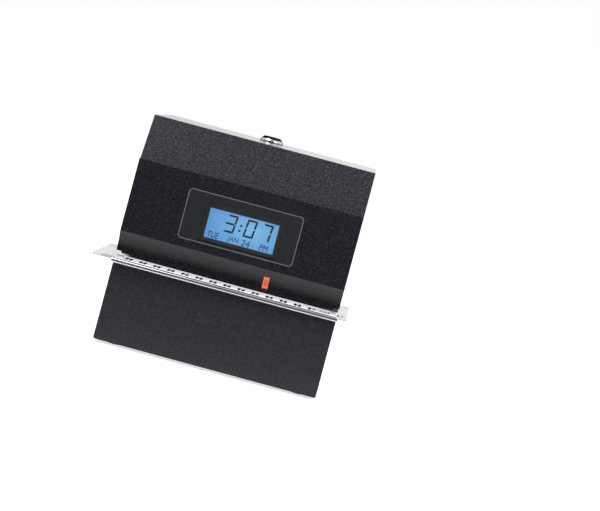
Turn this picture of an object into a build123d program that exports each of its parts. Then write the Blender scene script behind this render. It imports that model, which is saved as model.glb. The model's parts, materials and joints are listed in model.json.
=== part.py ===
from build123d import *
import math
import os

os.makedirs("parts", exist_ok=True)

# Date and time stamp machine for a desk or a wall.  A card slides into a slot between the base and an
# overhanging print head.  X is across the machine, Y runs from the front to the back, Z is up.
# The origin is on the desk, in the middle of the body.  Lengths are in millimetres, angles in degrees.

# ---- body ----
body_width = 236.0
body_depth = 168.0
body_height = 239.0
skin = 2.0
foot_height = 3.0
seam = 0.5
fit_gap = 0.2
running = 0.05
clearance = 1.0

# ---- front of the head, from the top down, as setbacks from the front of the apron's foot ----
deck_setback = 37.3
brow_setback = 12.9
brow_drop = 45.7
window_face_setback = 8.0
window_face_drop = 45.4
chin_setback = 0.3
chin_rise = 23.4
lip_setback = 8.3
lip_opening = 10.4
lip_relief = 2.0
lip_relief_width = 5.5

# ---- base ----
base_height = 84.0
apron_lean = 6.2
pan_corner = 2.0
throat_depth = 112.0
spine_rise = 16.0

# ---- throat ----
tray_thickness = 1.5
rail_height = 5.0
rail_thickness = 3.0
rail_overhang = 1.7
rail_end_bevel = 1.2
strip_thickness = 1.1
strip_depth = 60.0
strip_setback = 1.0
guide_thickness = 2.0
guide_depth = 107.5
guide_overhang_left = 21.9
guide_overhang_right = 10.4
guide_travel_left = 6.0
guide_travel_right = 18.0
ceiling_opening = 11.0
ceiling_thickness = 1.2
print_depth = 75.0
print_window_width = 48.0
print_window_depth = 10.0
platen_width = 64.0
platen_depth = 10.0
platen_height = 3.3

# ---- frame ----
frame_thickness = 1.6
frame_inset = 18.0
frame_front = 14.0
frame_back = 160.0
frame_top_drop = 13.0
frame_top_front = 36.0
frame_shoulder_drop = 53.0
frame_arm_drop = 6.0
frame_arm_front = 30.0
frame_spine_front = 116.0
frame_flange = 12.0
wall_depth = 117.0
wall_rise = 8.0
tie_depth = 157.0
tie_drop = 17.0
bar_depth = 22.0
bar_drop = 9.5
keeper_distance = 16.0

# ---- display ----
window_width = 121.0
window_drop = 15.5
window_sill = 8.1
window_corner = 4.0
retainer_border = 5.0
retainer_lap = 4.0
retainer_thickness = 1.5
lcd_width = 72.7
lcd_height = 30.8
lcd_offset = 0.9
lcd_drop = 4.3
lcd_depth = 15.0
lcd_border = 4.0
bezel_wall = 1.6
bezel_lip = 1.2
display_board_width = 124.0
display_board_height = 62.0
display_board_depth = 20.0
board_thickness = 1.6
bracket_depth = 26.0
bracket_thickness = 1.2
button_pitch = 18.0
button_radius = 2.0
button_cap_radius = 3.0
button_travel = 1.0
button_front = 12.6
switch_size = 7.0
switch_front = 16.5

# ---- print indicator in the lip ----
indicator_width = 7.0
indicator_x = 38.6
indicator_rise = 1.8
indicator_height = 13.7
indicator_depth = 2.5

# ---- lock in the top deck ----
lock_depth = 130.0
lock_flange_radius = 12.6
lock_top_radius = 8.6
lock_rise = 6.0
lock_shoulder_arc = 1.2
lock_flange_rise = 1.6
lock_body_radius = 9.5
lock_body_length = 17.5
plug_radius = 6.0
plug_stem_radius = 3.0
nut_height = 4.5
cam_length = 12.0
cam_width = 8.0
cam_thickness = 2.0
cam_drop = 3.0
keyway_width = 1.6
keyway_length = 7.0
keyway_depth = 5.0
keeper_gap = 1.0
keeper_width = 24.0
keeper_reach = 8.0

# ---- print carriage ----
shaft_radius = 4.0
shaft_depth = 98.0
shaft_rise = 21.0
carriage_width = 20.0
carriage_travel = 9.0
carriage_block = 8.0
neck_thickness = 6.0
carriage_rail_depth = 52.0
carriage_rail_thickness = 3.0
carriage_rail_height = 8.0
head_width = 16.0
head_depth = 16.0
nose_width = 10.0
nose_depth = 6.0
nose_rise = 6.0
nose_length = 3.0
fin_count = 4
fin_gap = 1.0
bush_wall = 1.5
rail_play = 0.3

# ---- belt drive ----
pulley_radius = 6.0
pulley_width = 6.0
pulley_flange = 1.5
pulley_inset = 15.0
belt_rise = 24.0
belt_thickness = 1.2
belt_width = 5.0
belt_clearance = 0.3
belt_clip_wall = 1.5
flange_rim = 1.0
motor_radius = 14.0
motor_length = 22.0
motor_boss_radius = 5.0
motor_shaft_radius = 2.0
shaft_seat = 8.0

# ---- ribbon cartridge ----
cartridge_width = 76.0
cartridge_thickness = 18.0
cartridge_rise = 3.0
cartridge_wall = 1.6
notch_height = 38.0
ribbon_width = 12.0
ribbon_thickness = 0.3
ribbon_rise = 2.0
ribbon_gap = 0.4
knob_x = 26.0
knob_rise = 22.0
knob_margin = 16.0
knob_radius = 8.0
knob_length = 5.0
knob_flutes = 12
flute_radius = 0.8
ribbon_shaft_radius = 3.0
ribbon_roller_radius = 6.0
bracket_margin = 6.0

# ---- card stop and trigger ----
stop_depth = 100.0
stop_thickness = 2.5
stop_width = 132.0
stop_travel = 12.0
stop_stem_x = 60.0
stop_stem_width = 4.0
stop_gap = 0.6
slider_thickness = 1.6
slider_depth = 6.5
trigger_x = 80.0
trigger_depth = 80.0
trigger_rise = 9.0
trigger_pin_radius = 1.5
trigger_hub_radius = 3.5
trigger_hub_width = 6.0
trigger_tail = 10.0
trigger_guard = 8.0
sensor_gap = 1.5
ear_thickness = 1.2
ear_rise = 2.0

# ---- boards, battery, inlet ----
main_board_depth = 148.0
main_board_inset = 14.0
main_board_rise = 13.0
main_board_drop = 39.0
component_height = 6.5
chip_row_share = 0.72
chip_xs = (-50.0, -10.0, 25.0)
capacitor_xs = (-30.0, 0.0, 40.0)
terminal_xs = (-60.0, 60.0)
terminal_length = 20.8
battery_radius = 7.0
battery_length = 50.0
battery_depth = 70.0
cell_count = 3
clip_gauge = 1.0
inlet_x = -80.0
inlet_height = 26.0
inlet_radius = 3.2
inlet_nose_radius = 5.0
inlet_body = 14.0
inlet_length = 14.0
inlet_pin_radius = 1.0
inlet_bore_depth = 9.0
cable_width = 9.6
cable_x = 49.6
cable_thickness = 0.8
cable_rise = 5.0
cable_tail = 12.0

# ---- wall mounting keyholes in the rear panel ----
keyhole_spacing = 150.0
keyhole_height = 62.0
keyhole_radius = 4.5
keyhole_slot_radius = 2.2
keyhole_rise = 9.0

# ---- feet and fasteners ----
foot_radius = 9.0
foot_inset = 20.0
foot_front = 22.0
foot_back = 146.0
screw_radius = 1.5
screw_head_radius = 2.8
screw_head_height = 1.8
guide_screw_inset = 5.5
guide_screw_depth = 11.0
guide_screw_radius = 2.0
guide_screw_head_radius = 3.6
guide_screw_head_height = 2.4

# ---- derived places ----
half_width = body_width / 2
front_y = -body_depth / 2
rear_y = body_depth / 2
inner_half = half_width - skin
frame_half = half_width - frame_inset
frame_span = 2 * frame_half
foot_x = half_width - foot_inset
guide_screw_x = half_width - guide_screw_inset
pulley_x = frame_half - pulley_inset
main_board_width = 2 * (frame_half - main_board_inset)
rail_length = body_width + 2 * rail_overhang
guide_left = -half_width - guide_overhang_left
guide_width = body_width + guide_overhang_left + guide_overhang_right
floor_top = foot_height + skin
brow_height = body_height - brow_drop
window_face_top = body_height - window_face_drop
lip_height = base_height + lip_opening
chin_height = lip_height + chin_rise
spine_height = base_height + spine_rise
ceiling_height = base_height + ceiling_opening
indicator_bottom = lip_height + indicator_rise
indicator_top = indicator_bottom + indicator_height
tray_top = base_height + tray_thickness
strip_top = tray_top + fit_gap + strip_thickness
guide_bottom = strip_top + fit_gap
guide_top = guide_bottom + guide_thickness
ceiling_top = ceiling_height + ceiling_thickness
deck_under = body_height - skin
frame_top = body_height - frame_top_drop
frame_shoulder = body_height - frame_shoulder_drop
frame_arm_top = base_height - frame_arm_drop
tie_top = body_height - tie_drop
shaft_height = ceiling_height + shaft_rise
nose_height = ceiling_height + nose_rise
belt_height = shaft_height + belt_rise
cartridge_bottom = ceiling_height + cartridge_rise
ribbon_height = cartridge_bottom + ribbon_rise
knob_height = belt_height + knob_rise
cartridge_height = knob_height + knob_margin - cartridge_bottom
wall_top = knob_height + wall_rise
trigger_height = ceiling_height + trigger_rise
trigger_finger_tip = guide_top + clearance
trigger_tail_top = trigger_height + trigger_tail
main_board_bottom = ceiling_height + main_board_rise
main_board_top = body_height - main_board_drop
stem_bottom = deck_under - lock_body_length - cam_drop - cam_thickness
bar_height = stem_bottom - bar_drop
bar_front = lock_depth - keeper_distance
board_back_y = front_y + display_board_depth + board_thickness
wall_front_y = front_y + wall_depth
wall_back_y = wall_front_y + frame_thickness
belt_front_y = wall_front_y - fit_gap - pulley_width
shaft_y = front_y + shaft_depth
print_y = front_y + print_depth
tie_front_y = front_y + tie_depth
neck_bottom = shaft_height - neck_thickness / 2
neck_top = shaft_height + neck_thickness / 2
notch_width = carriage_width + 2 * (carriage_travel + clearance)
cartridge_front_y = print_y - cartridge_thickness / 2
cartridge_back_y = print_y + cartridge_thickness / 2


def block(x, y, z, mode=Mode.ADD):
    """A rectangular solid between pairs of coordinates."""
    with Locations(((x[0] + x[1]) / 2, (y[0] + y[1]) / 2, (z[0] + z[1]) / 2)):
        Box(x[1] - x[0], y[1] - y[0], z[1] - z[0], mode=mode)


def rod(start, axis, length, radius, mode=Mode.ADD):
    """A round solid of one radius that starts at a point and runs along an axis."""
    with BuildSketch(Plane(origin=start, z_dir=axis)) as profile:
        Circle(radius)
    extrude(profile.sketch, amount=length, mode=mode)


def screw(seat, inward, length):
    """A pan-head screw: its head sits on the seat point, its shank runs along the inward direction."""
    outward = tuple(-c for c in inward)
    rod(seat, outward, screw_head_height, screw_head_radius)
    rod(seat, inward, length, screw_radius)


def finish(piece, name):
    """Labels a finished piece and writes it."""
    piece.part.label = name
    export_step(piece.part, f"parts/{name}.step")


# The front of the head is a sheet bent through the brow, the window face and the chin, and it ends in
# a cove that turns in to the lip.  The cove is an arc that arrives vertical at the lip.
cove_drop = chin_height - lip_height
cove_inset = lip_setback - chin_setback
cove_sweep = 2 * math.degrees(math.atan2(cove_inset, cove_drop))
cove_radius = cove_drop / math.sin(math.radians(cove_sweep))
cove_center = (front_y + lip_setback - cove_radius, lip_height)
window_run = math.hypot(window_face_top - chin_height, window_face_setback - chin_setback)
window_lean = math.atan2(window_face_setback - chin_setback, window_face_top - chin_height)
face_normal = (0, -math.cos(window_lean), math.sin(window_lean))
window_height = window_run - window_drop - window_sill
window_middle = window_drop + window_height / 2
lcd_center_height = window_face_top - window_middle - lcd_drop
window_plane = Plane(
    origin=(
        0,
        front_y + window_face_setback - window_middle * math.sin(window_lean),
        window_face_top - window_middle * math.cos(window_lean),
    ),
    x_dir=(1, 0, 0),
    z_dir=face_normal,
)


def cove_band(inner, outer, bottom, top, mode=Mode.ADD, width=indicator_width):
    """A piece that follows the cove, between two radii and two heights, as wide as the indicator."""
    low = math.degrees(math.asin((bottom - lip_height) / cove_radius))
    high = math.degrees(math.asin((top - lip_height) / cove_radius))
    with BuildSketch(Plane.YZ.offset(indicator_x - width / 2)) as profile:
        with BuildLine():
            near = CenterArc(cove_center, inner, low, high - low)
            far = CenterArc(cove_center, outer, low, high - low)
            Line(near @ 0, far @ 0)
            Line(near @ 1, far @ 1)
        make_face()
    extrude(profile.sketch, amount=width, mode=mode)


# ======== cover ========

# One formed steel shell: deck, brow, window face, cove, sides and back.  It drops over the frame and
# stops just above the base; its sides stay clear of the slot.
with BuildPart() as top_cover:
    with BuildSketch(Plane.YZ.offset(-half_width)):
        with BuildLine():
            Polyline(
                (front_y + lip_setback, lip_height),
                (rear_y, lip_height),
                (rear_y, body_height),
                (front_y + deck_setback, body_height),
                (front_y + brow_setback, brow_height),
                (front_y + window_face_setback, window_face_top),
                (front_y + chin_setback, chin_height),
            )
            CenterArc(cove_center, cove_radius, 0, cove_sweep)
        make_face()
    extrude(amount=body_width)
    ledge_skin = skin - skin * math.tan(window_lean)
    inner_sweep = math.acos((chin_setback + skin - lip_setback + cove_radius) / (cove_radius + skin))
    with BuildSketch(Plane.YZ.offset(-inner_half)):
        with BuildLine():
            inner_arc = CenterArc(cove_center, cove_radius + skin, 0, math.degrees(inner_sweep))
            Polyline(
                inner_arc @ 0,
                (front_y + lip_setback + skin, lip_height - skin),
                (rear_y - skin, lip_height - skin),
                (rear_y - skin, deck_under),
                (front_y + deck_setback + skin, deck_under),
                (front_y + brow_setback + skin, brow_height - skin),
                (front_y + window_face_setback + ledge_skin, window_face_top - skin),
                inner_arc @ 1,
            )
        make_face()
    extrude(amount=2 * inner_half, mode=Mode.SUBTRACT)
    block(
        (-half_width, half_width),
        (front_y + throat_depth, rear_y),
        (lip_height, spine_height + seam),
        Mode.SUBTRACT,
    )
    for side in (-1, 1):
        relief = sorted((side * half_width, side * (half_width - lip_relief_width)))
        block(
            relief,
            (front_y, front_y + throat_depth),
            (lip_height, lip_height + lip_relief),
            Mode.SUBTRACT,
        )
    with BuildSketch(window_plane):
        RectangleRounded(window_width, window_height, window_corner)
    extrude(amount=-2 * skin, mode=Mode.SUBTRACT)
    cove_band(
        cove_radius - skin,
        cove_radius + 2 * skin,
        indicator_bottom - fit_gap,
        indicator_top + fit_gap,
        Mode.SUBTRACT,
        indicator_width + 2 * fit_gap,
    )
    rod(
        (0, front_y + lock_depth, deck_under - skin),
        (0, 0, 1),
        3 * skin,
        lock_body_radius + running,
        Mode.SUBTRACT,
    )
finish(top_cover, "top_cover")

# Smoked clear panel, flush with the window face.
with BuildPart() as display_window:
    with BuildSketch(window_plane):
        RectangleRounded(
            window_width - 2 * fit_gap,
            window_height - 2 * fit_gap,
            window_corner - fit_gap,
        )
    extrude(amount=-skin)
finish(display_window, "display_window")

# Frame behind the window that holds it in the shell.
with BuildPart() as window_retainer:
    with BuildSketch(window_plane.offset(-skin)):
        RectangleRounded(
            window_width + 2 * retainer_border,
            window_height + 2 * retainer_border,
            window_corner + retainer_border,
        )
        RectangleRounded(
            window_width - 2 * retainer_lap,
            window_height - 2 * retainer_lap,
            window_corner,
            mode=Mode.SUBTRACT,
        )
    extrude(amount=-retainer_thickness)
finish(window_retainer, "window_retainer")

# Red lens over the print indicator lamp; its lamp holder stands behind it.
with BuildPart() as indicator_lens:
    cove_band(cove_radius, cove_radius + indicator_depth, indicator_bottom, indicator_top)
finish(indicator_lens, "indicator_lens")

# Lock housing: a turned chrome collar on the deck with a round body below it.
with BuildPart() as lock_barrel:
    with BuildSketch(Plane.XZ.offset(-front_y - lock_depth)):
        with BuildLine():
            Polyline(
                (plug_radius + running, deck_under - lock_body_length),
                (lock_body_radius, deck_under - lock_body_length),
                (lock_body_radius, body_height),
                (lock_flange_radius, body_height),
                (lock_flange_radius, body_height + lock_flange_rise),
            )
            shoulder = (lock_top_radius, body_height + lock_rise)
            waist = (lock_flange_radius, body_height + lock_flange_rise)
            bulge = lock_rise + lock_flange_radius - lock_top_radius
            RadiusArc(waist, shoulder, -lock_shoulder_arc * bulge)
            Polyline(
                shoulder,
                (plug_radius + running, body_height + lock_rise),
                (plug_radius + running, deck_under - lock_body_length),
            )
        make_face()
    revolve(axis=Axis((0, front_y + lock_depth, 0), (0, 0, 1)))
finish(lock_barrel, "lock_barrel")

# Hexagon nut that clamps the lock housing to the deck from below.
with BuildPart() as lock_nut:
    with BuildSketch(Plane((0, front_y + lock_depth, deck_under - nut_height))):
        RegularPolygon(lock_flange_radius, 6)
        Circle(lock_body_radius + running, mode=Mode.SUBTRACT)
    extrude(amount=nut_height)
finish(lock_nut, "lock_nut")

# Plug that the key turns.  A keyway is cut in its top; a stem below carries the cam.
with BuildPart() as lock_plug:
    rod(
        (0, front_y + lock_depth, deck_under - lock_body_length),
        (0, 0, 1),
        lock_body_length + skin + lock_rise - fit_gap,
        plug_radius,
    )
    rod(
        (0, front_y + lock_depth, stem_bottom),
        (0, 0, 1),
        cam_drop + cam_thickness,
        plug_stem_radius,
    )
    block(
        (-keyway_width / 2, keyway_width / 2),
        (front_y + lock_depth - keyway_length / 2, front_y + lock_depth + keyway_length / 2),
        (body_height + lock_rise - keyway_depth, body_height + lock_rise),
        Mode.SUBTRACT,
    )
finish(lock_plug, "lock_plug")

# Cam on the plug's stem: it points sideways when the lock is open and swings forward under the keeper.
with BuildPart() as lock_cam:
    with BuildSketch(Plane((0, front_y + lock_depth, stem_bottom))):
        Circle(cam_width / 2 + clearance)
        with Locations((cam_length / 2, 0)):
            Rectangle(cam_length, cam_width)
        Circle(plug_stem_radius, mode=Mode.SUBTRACT)
    extrude(amount=cam_thickness)
finish(lock_cam, "lock_cam")

# ======== base ========

# Formed pan: leaning apron, two sides that rise behind the throat, and a floor.
with BuildPart() as base_housing:
    with BuildSketch(Plane.YZ.offset(-half_width)):
        with BuildLine():
            Polyline(
                (front_y, foot_height),
                (front_y + apron_lean, base_height),
                (front_y + throat_depth + seam, base_height),
                (front_y + throat_depth + seam, spine_height),
                (rear_y, spine_height),
                (rear_y, foot_height),
                close=True,
            )
        make_face()
    extrude(amount=body_width)
    low_edges = base_housing.edges().filter_by(Axis.Y).group_by(Axis.Z)[0]
    fillet(low_edges, pan_corner)
    lean_step = skin * apron_lean / (base_height - foot_height)
    with BuildSketch(Plane.YZ.offset(-inner_half)):
        with BuildLine():
            Polyline(
                (front_y + skin + lean_step, floor_top),
                (front_y + skin + apron_lean + lean_step, base_height + skin),
                (front_y + skin + apron_lean + lean_step, spine_height + skin),
                (rear_y + skin, spine_height + skin),
                (rear_y + skin, floor_top),
                close=True,
            )
        make_face()
    extrude(amount=2 * inner_half, mode=Mode.SUBTRACT)
    for x in (-foot_x, foot_x):
        for y in (front_y + foot_front, front_y + foot_back):
            rod((x, y, 0), (0, 0, 1), 2 * floor_top, screw_radius + running, Mode.SUBTRACT)
finish(base_housing, "base_housing")

# Four round rubber feet, each recessed for its screw.
with BuildPart() as rubber_feet:
    for x in (-foot_x, foot_x):
        for y in (front_y + foot_front, front_y + foot_back):
            rod((x, y, 0), (0, 0, 1), foot_height, foot_radius)
            rod((x, y, 0), (0, 0, 1), foot_height, screw_radius + running, Mode.SUBTRACT)
            rod((x, y, 0), (0, 0, 1), foot_height / 2 + fit_gap, screw_head_radius + fit_gap, Mode.SUBTRACT)
finish(rubber_feet, "rubber_feet")

# Back wall of the base, with two keyholes for hanging on wall screws and a hole for the power inlet.
with BuildPart() as rear_panel:
    block(
        (fit_gap - inner_half, inner_half - fit_gap),
        (rear_y - skin, rear_y),
        (floor_top + fit_gap, spine_height),
    )
    for x in (-keyhole_spacing / 2, keyhole_spacing / 2):
        rod((x, rear_y + skin, keyhole_height), (0, -1, 0), 3 * skin, keyhole_radius, Mode.SUBTRACT)
        block(
            (x - keyhole_slot_radius, x + keyhole_slot_radius),
            (rear_y - 2 * skin, rear_y + skin),
            (keyhole_height, keyhole_height + keyhole_rise),
            Mode.SUBTRACT,
        )
        rod(
            (x, rear_y + skin, keyhole_height + keyhole_rise),
            (0, -1, 0),
            3 * skin,
            keyhole_slot_radius,
            Mode.SUBTRACT,
        )
    rod(
        (inlet_x, rear_y + skin, inlet_height),
        (0, -1, 0),
        3 * skin,
        inlet_nose_radius + fit_gap,
        Mode.SUBTRACT,
    )
finish(rear_panel, "rear_panel")

# Power inlet jack: a square body behind the panel, a round nose through it and a centre pin.
with BuildPart() as power_inlet:
    block(
        (inlet_x - inlet_body / 2, inlet_x + inlet_body / 2),
        (rear_y - skin - inlet_length, rear_y - skin),
        (inlet_height - inlet_body / 2, inlet_height + inlet_body / 2),
    )
    rod((inlet_x, rear_y - skin, inlet_height), (0, 1, 0), skin, inlet_nose_radius)
    rod((inlet_x, rear_y, inlet_height), (0, -1, 0), inlet_bore_depth, inlet_radius, Mode.SUBTRACT)
    rod(
        (inlet_x, rear_y - inlet_bore_depth, inlet_height),
        (0, 1, 0),
        inlet_bore_depth - clearance,
        inlet_pin_radius,
    )
finish(power_inlet, "power_inlet")

# ======== throat ========

# Floor of the throat: a steel tray that sits on the pan and turns up at the back of the slot.
guide_slot_left = guide_travel_right + guide_screw_radius + fit_gap
guide_slot_right = guide_travel_left + guide_screw_radius + fit_gap
with BuildPart() as throat_tray:
    block(
        (-half_width, half_width),
        (front_y, front_y + throat_depth),
        (base_height, tray_top),
    )
    block(
        (-inner_half, inner_half),
        (front_y + throat_depth - tray_thickness, front_y + throat_depth),
        (tray_top, ceiling_height),
    )
    for x in (-guide_screw_x, guide_screw_x):
        rod(
            (x, front_y + guide_screw_depth, base_height - skin),
            (0, 0, 1),
            2 * skin,
            guide_screw_radius + running,
            Mode.SUBTRACT,
        )
finish(throat_tray, "throat_tray")

# Bright half-round nosing along the front edge of the tray, a little wider than the body.
with BuildPart() as front_rail:
    rail_radius = rail_height / 2
    with BuildSketch(Plane.YZ.offset(-rail_length / 2)):
        with BuildLine():
            Polyline(
                (front_y - rail_thickness + rail_radius, base_height),
                (front_y, base_height),
                (front_y, base_height + rail_height),
                (front_y - rail_thickness + rail_radius, base_height + rail_height),
            )
            ThreePointArc(
                (front_y - rail_thickness + rail_radius, base_height + rail_height),
                (front_y - rail_thickness, base_height + rail_radius),
                (front_y - rail_thickness + rail_radius, base_height),
            )
        make_face()
    extrude(amount=rail_length)
    with BuildSketch(Plane.XZ.offset(-front_y)):
        with BuildLine():
            Polyline(
                (rail_end_bevel - rail_length / 2, base_height),
                (rail_length / 2 - rail_end_bevel, base_height),
                (rail_length / 2, base_height + rail_height),
                (-rail_length / 2, base_height + rail_height),
                close=True,
            )
        make_face()
    extrude(amount=2 * rail_thickness, mode=Mode.INTERSECT)
finish(front_rail, "front_rail")

# White strip under the clear guide.
with BuildPart() as backing_strip:
    block(
        (-inner_half, inner_half),
        (front_y + strip_setback, front_y + strip_setback + strip_depth),
        (tray_top, strip_top),
    )
    for side in (-1, 1):
        with Locations((side * guide_screw_x, front_y + guide_screw_depth, strip_top)):
            Cylinder(guide_screw_radius + fit_gap, 4 * strip_thickness, mode=Mode.SUBTRACT)
finish(backing_strip, "backing_strip")

# Hard rubber platen under the print head.
with BuildPart() as platen_bar:
    block(
        (-platen_width / 2, platen_width / 2),
        (print_y - platen_depth / 2, print_y + platen_depth / 2),
        (tray_top, tray_top + platen_height),
    )
finish(platen_bar, "platen_bar")

# Clear guide plate that the card slides on.  It is wider than the body and can be set sideways.
with BuildPart() as paper_guide:
    guide_front = front_y + fit_gap
    block(
        (guide_left, guide_left + guide_width),
        (guide_front, guide_front + guide_depth),
        (guide_bottom, guide_top),
    )
    block(
        (
            -platen_width / 2 - guide_travel_right - clearance,
            platen_width / 2 + guide_travel_left + clearance,
        ),
        (print_y - platen_depth / 2 - clearance, print_y + platen_depth / 2 + clearance),
        (guide_bottom, guide_top),
        Mode.SUBTRACT,
    )
    for side in (-1, 1):
        x = side * guide_screw_x
        slot_middle = x + (guide_slot_right - guide_slot_left) / 2
        with BuildSketch(Plane.XY.offset(guide_bottom)) as slot:
            with Locations((slot_middle, front_y + guide_screw_depth)):
                SlotOverall(
                    guide_slot_left + guide_slot_right,
                    2 * (guide_screw_radius + fit_gap),
                )
        extrude(slot.sketch, amount=guide_thickness, mode=Mode.SUBTRACT)
finish(paper_guide, "paper_guide")


def guide_screw(x):
    """Knurled-head screw that clamps the guide to the tray."""
    rod(
        (x, front_y + guide_screw_depth, guide_top + running),
        (0, 0, 1),
        guide_screw_head_height,
        guide_screw_head_radius,
    )
    rod(
        (x, front_y + guide_screw_depth, base_height - skin),
        (0, 0, 1),
        guide_top + running - base_height + skin,
        guide_screw_radius,
    )


with BuildPart() as guide_screw_left:
    guide_screw(-guide_screw_x)
finish(guide_screw_left, "guide_screw_left")

with BuildPart() as guide_screw_right:
    guide_screw(guide_screw_x)
finish(guide_screw_right, "guide_screw_right")

# Ceiling of the throat, under the print mechanism: a plate with the print window and slots.
with BuildPart() as throat_ceiling:
    block(
        (fit_gap - frame_half, frame_half - fit_gap),
        (front_y + frame_front, front_y + throat_depth - fit_gap),
        (ceiling_height, ceiling_top),
    )
    block(
        (-print_window_width / 2, print_window_width / 2),
        (print_y - print_window_depth / 2, print_y + print_window_depth / 2),
        (ceiling_height, ceiling_top),
        Mode.SUBTRACT,
    )
    for x in (-stop_stem_x, stop_stem_x):
        block(
            (x - stop_stem_width / 2 - fit_gap, x + stop_stem_width / 2 + fit_gap),
            (
                front_y + stop_depth - stop_travel - fit_gap,
                front_y + stop_depth + stop_thickness + fit_gap,
            ),
            (ceiling_height, ceiling_top),
            Mode.SUBTRACT,
        )
    finger_length = trigger_height - trigger_finger_tip
    finger_drop = trigger_height - ceiling_height
    trigger_reach = math.sqrt(finger_length**2 - finger_drop**2)
    block(
        (trigger_x - trigger_hub_width / 2, trigger_x + trigger_hub_width / 2),
        (
            front_y + trigger_depth - trigger_hub_radius,
            front_y + trigger_depth + trigger_reach + trigger_hub_radius,
        ),
        (ceiling_height, ceiling_top),
        Mode.SUBTRACT,
    )
finish(throat_ceiling, "throat_ceiling")

# ======== frame ========


frame_screw_places = (
    (front_y + bar_front + bar_depth / 2, bar_height + 2 * frame_thickness),
    (tie_front_y - 2 * screw_head_radius, tie_top - 2 * screw_head_radius),
)


def frame_side(side):
    """C-shaped side plate: an arm in the base, a spine behind the throat and an arm in the head."""
    outer = side * (frame_half + frame_thickness)
    with BuildSketch(Plane.YZ.offset(min(outer, side * frame_half))) as plate:
        with BuildLine():
            Polyline(
                (front_y + frame_arm_front, floor_top),
                (front_y + frame_arm_front, frame_arm_top),
                (front_y + frame_spine_front, frame_arm_top),
                (front_y + frame_spine_front, ceiling_top),
                (front_y + frame_front, ceiling_top),
                (front_y + frame_front, frame_shoulder),
                (front_y + frame_top_front, frame_top),
                (front_y + frame_back, frame_top),
                (front_y + frame_back, floor_top),
                close=True,
            )
        make_face()
        with Locations((shaft_y, shaft_height)):
            Circle(shaft_radius + running, mode=Mode.SUBTRACT)
        with Locations(frame_screw_places):
            Circle(screw_radius + running, mode=Mode.SUBTRACT)
    extrude(plate.sketch, amount=frame_thickness)
    block(
        sorted((side * frame_half, side * (frame_half - frame_flange))),
        (front_y + frame_arm_front, front_y + frame_back),
        (floor_top, floor_top + frame_thickness),
    )
    rod(
        (side * foot_x, front_y + foot_back, floor_top),
        (0, 0, 1),
        frame_thickness,
        screw_radius + running,
        Mode.SUBTRACT,
    )
    block(
        sorted((side * frame_half, side * (frame_half - frame_flange))),
        (front_y + frame_front, front_y + throat_depth - fit_gap),
        (ceiling_top, ceiling_top + frame_thickness),
    )


with BuildPart() as frame_left:
    frame_side(-1)
finish(frame_left, "frame_left")

with BuildPart() as frame_right:
    frame_side(1)
finish(frame_right, "frame_right")

# Cross wall behind the carriage: it carries the two motors and the idler pin.
with BuildPart() as motor_wall:
    block(
        (-frame_half, frame_half),
        (wall_front_y, wall_back_y),
        (ceiling_top, wall_top),
    )
    for x, z in ((-pulley_x, belt_height), (knob_x, knob_height)):
        rod((x, wall_front_y - skin, z), (0, 1, 0), 3 * skin, motor_boss_radius, Mode.SUBTRACT)
    rod(
        (pulley_x, wall_front_y - skin, belt_height),
        (0, 1, 0),
        3 * skin,
        motor_shaft_radius,
        Mode.SUBTRACT,
    )
finish(motor_wall, "motor_wall")

# Rear tie sheet between the side plates, with four standoffs pressed in for the main board.
board_y = front_y + main_board_depth
board_post_x = main_board_width / 2 - 2 * screw_head_radius
board_posts = [
    (x, board_y + board_thickness, z)
    for x in (-board_post_x, board_post_x)
    for z in (main_board_bottom + 2 * screw_head_radius, main_board_top - 2 * screw_head_radius)
]
with BuildPart() as rear_tie:
    block(
        (-frame_half, frame_half),
        (tie_front_y, tie_front_y + frame_thickness),
        (spine_height, tie_top),
    )
    for post in board_posts:
        rod(post, (0, 1, 0), tie_front_y - board_y - board_thickness, screw_head_radius)
        rod(post, (0, 1, 0), tie_front_y - board_y, screw_radius + running, Mode.SUBTRACT)
finish(rear_tie, "rear_tie")

# Bar across the top of the frame, with the keeper that the lock's cam turns under.
keeper_top = stem_bottom + cam_thickness + keeper_gap + frame_thickness
with BuildPart() as lock_bar:
    block(
        (-frame_half, frame_half),
        (front_y + bar_front, front_y + bar_front + bar_depth),
        (bar_height, bar_height + frame_thickness),
    )
    block(
        (-keeper_width / 2, keeper_width / 2),
        (front_y + bar_front, front_y + bar_front + frame_thickness),
        (bar_height, keeper_top),
    )
    block(
        (-keeper_width / 2, keeper_width / 2),
        (front_y + bar_front, front_y + bar_front + frame_thickness + keeper_reach),
        (keeper_top - frame_thickness, keeper_top),
    )
finish(lock_bar, "lock_bar")

# ======== display ========
lcd_x = (lcd_offset - lcd_width / 2, lcd_offset + lcd_width / 2)
lcd_z = (lcd_center_height - lcd_height / 2, lcd_center_height + lcd_height / 2)
lcd_y = front_y + lcd_depth

# Liquid crystal cell with its backlight.
with BuildPart() as lcd_panel:
    block(
        (lcd_x[0] - lcd_border, lcd_x[1] + lcd_border),
        (lcd_y, front_y + display_board_depth),
        (lcd_z[0] - lcd_border, lcd_z[1] + lcd_border),
    )
finish(lcd_panel, "lcd_panel")

# Black frame that holds the cell against its board and covers its rim.
with BuildPart() as lcd_bezel:
    bezel_rim = lcd_border + fit_gap
    block(
        (lcd_x[0] - bezel_rim - bezel_wall, lcd_x[1] + bezel_rim + bezel_wall),
        (lcd_y - bezel_lip, front_y + display_board_depth),
        (lcd_z[0] - bezel_rim - bezel_wall, lcd_z[1] + bezel_rim + bezel_wall),
    )
    block(
        (lcd_x[0] - bezel_rim, lcd_x[1] + bezel_rim),
        (lcd_y, front_y + display_board_depth),
        (lcd_z[0] - bezel_rim, lcd_z[1] + bezel_rim),
        Mode.SUBTRACT,
    )
    block(lcd_x, (lcd_y - 2 * bezel_lip, lcd_y + bezel_lip), lcd_z, Mode.SUBTRACT)
finish(lcd_bezel, "lcd_bezel")

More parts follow.
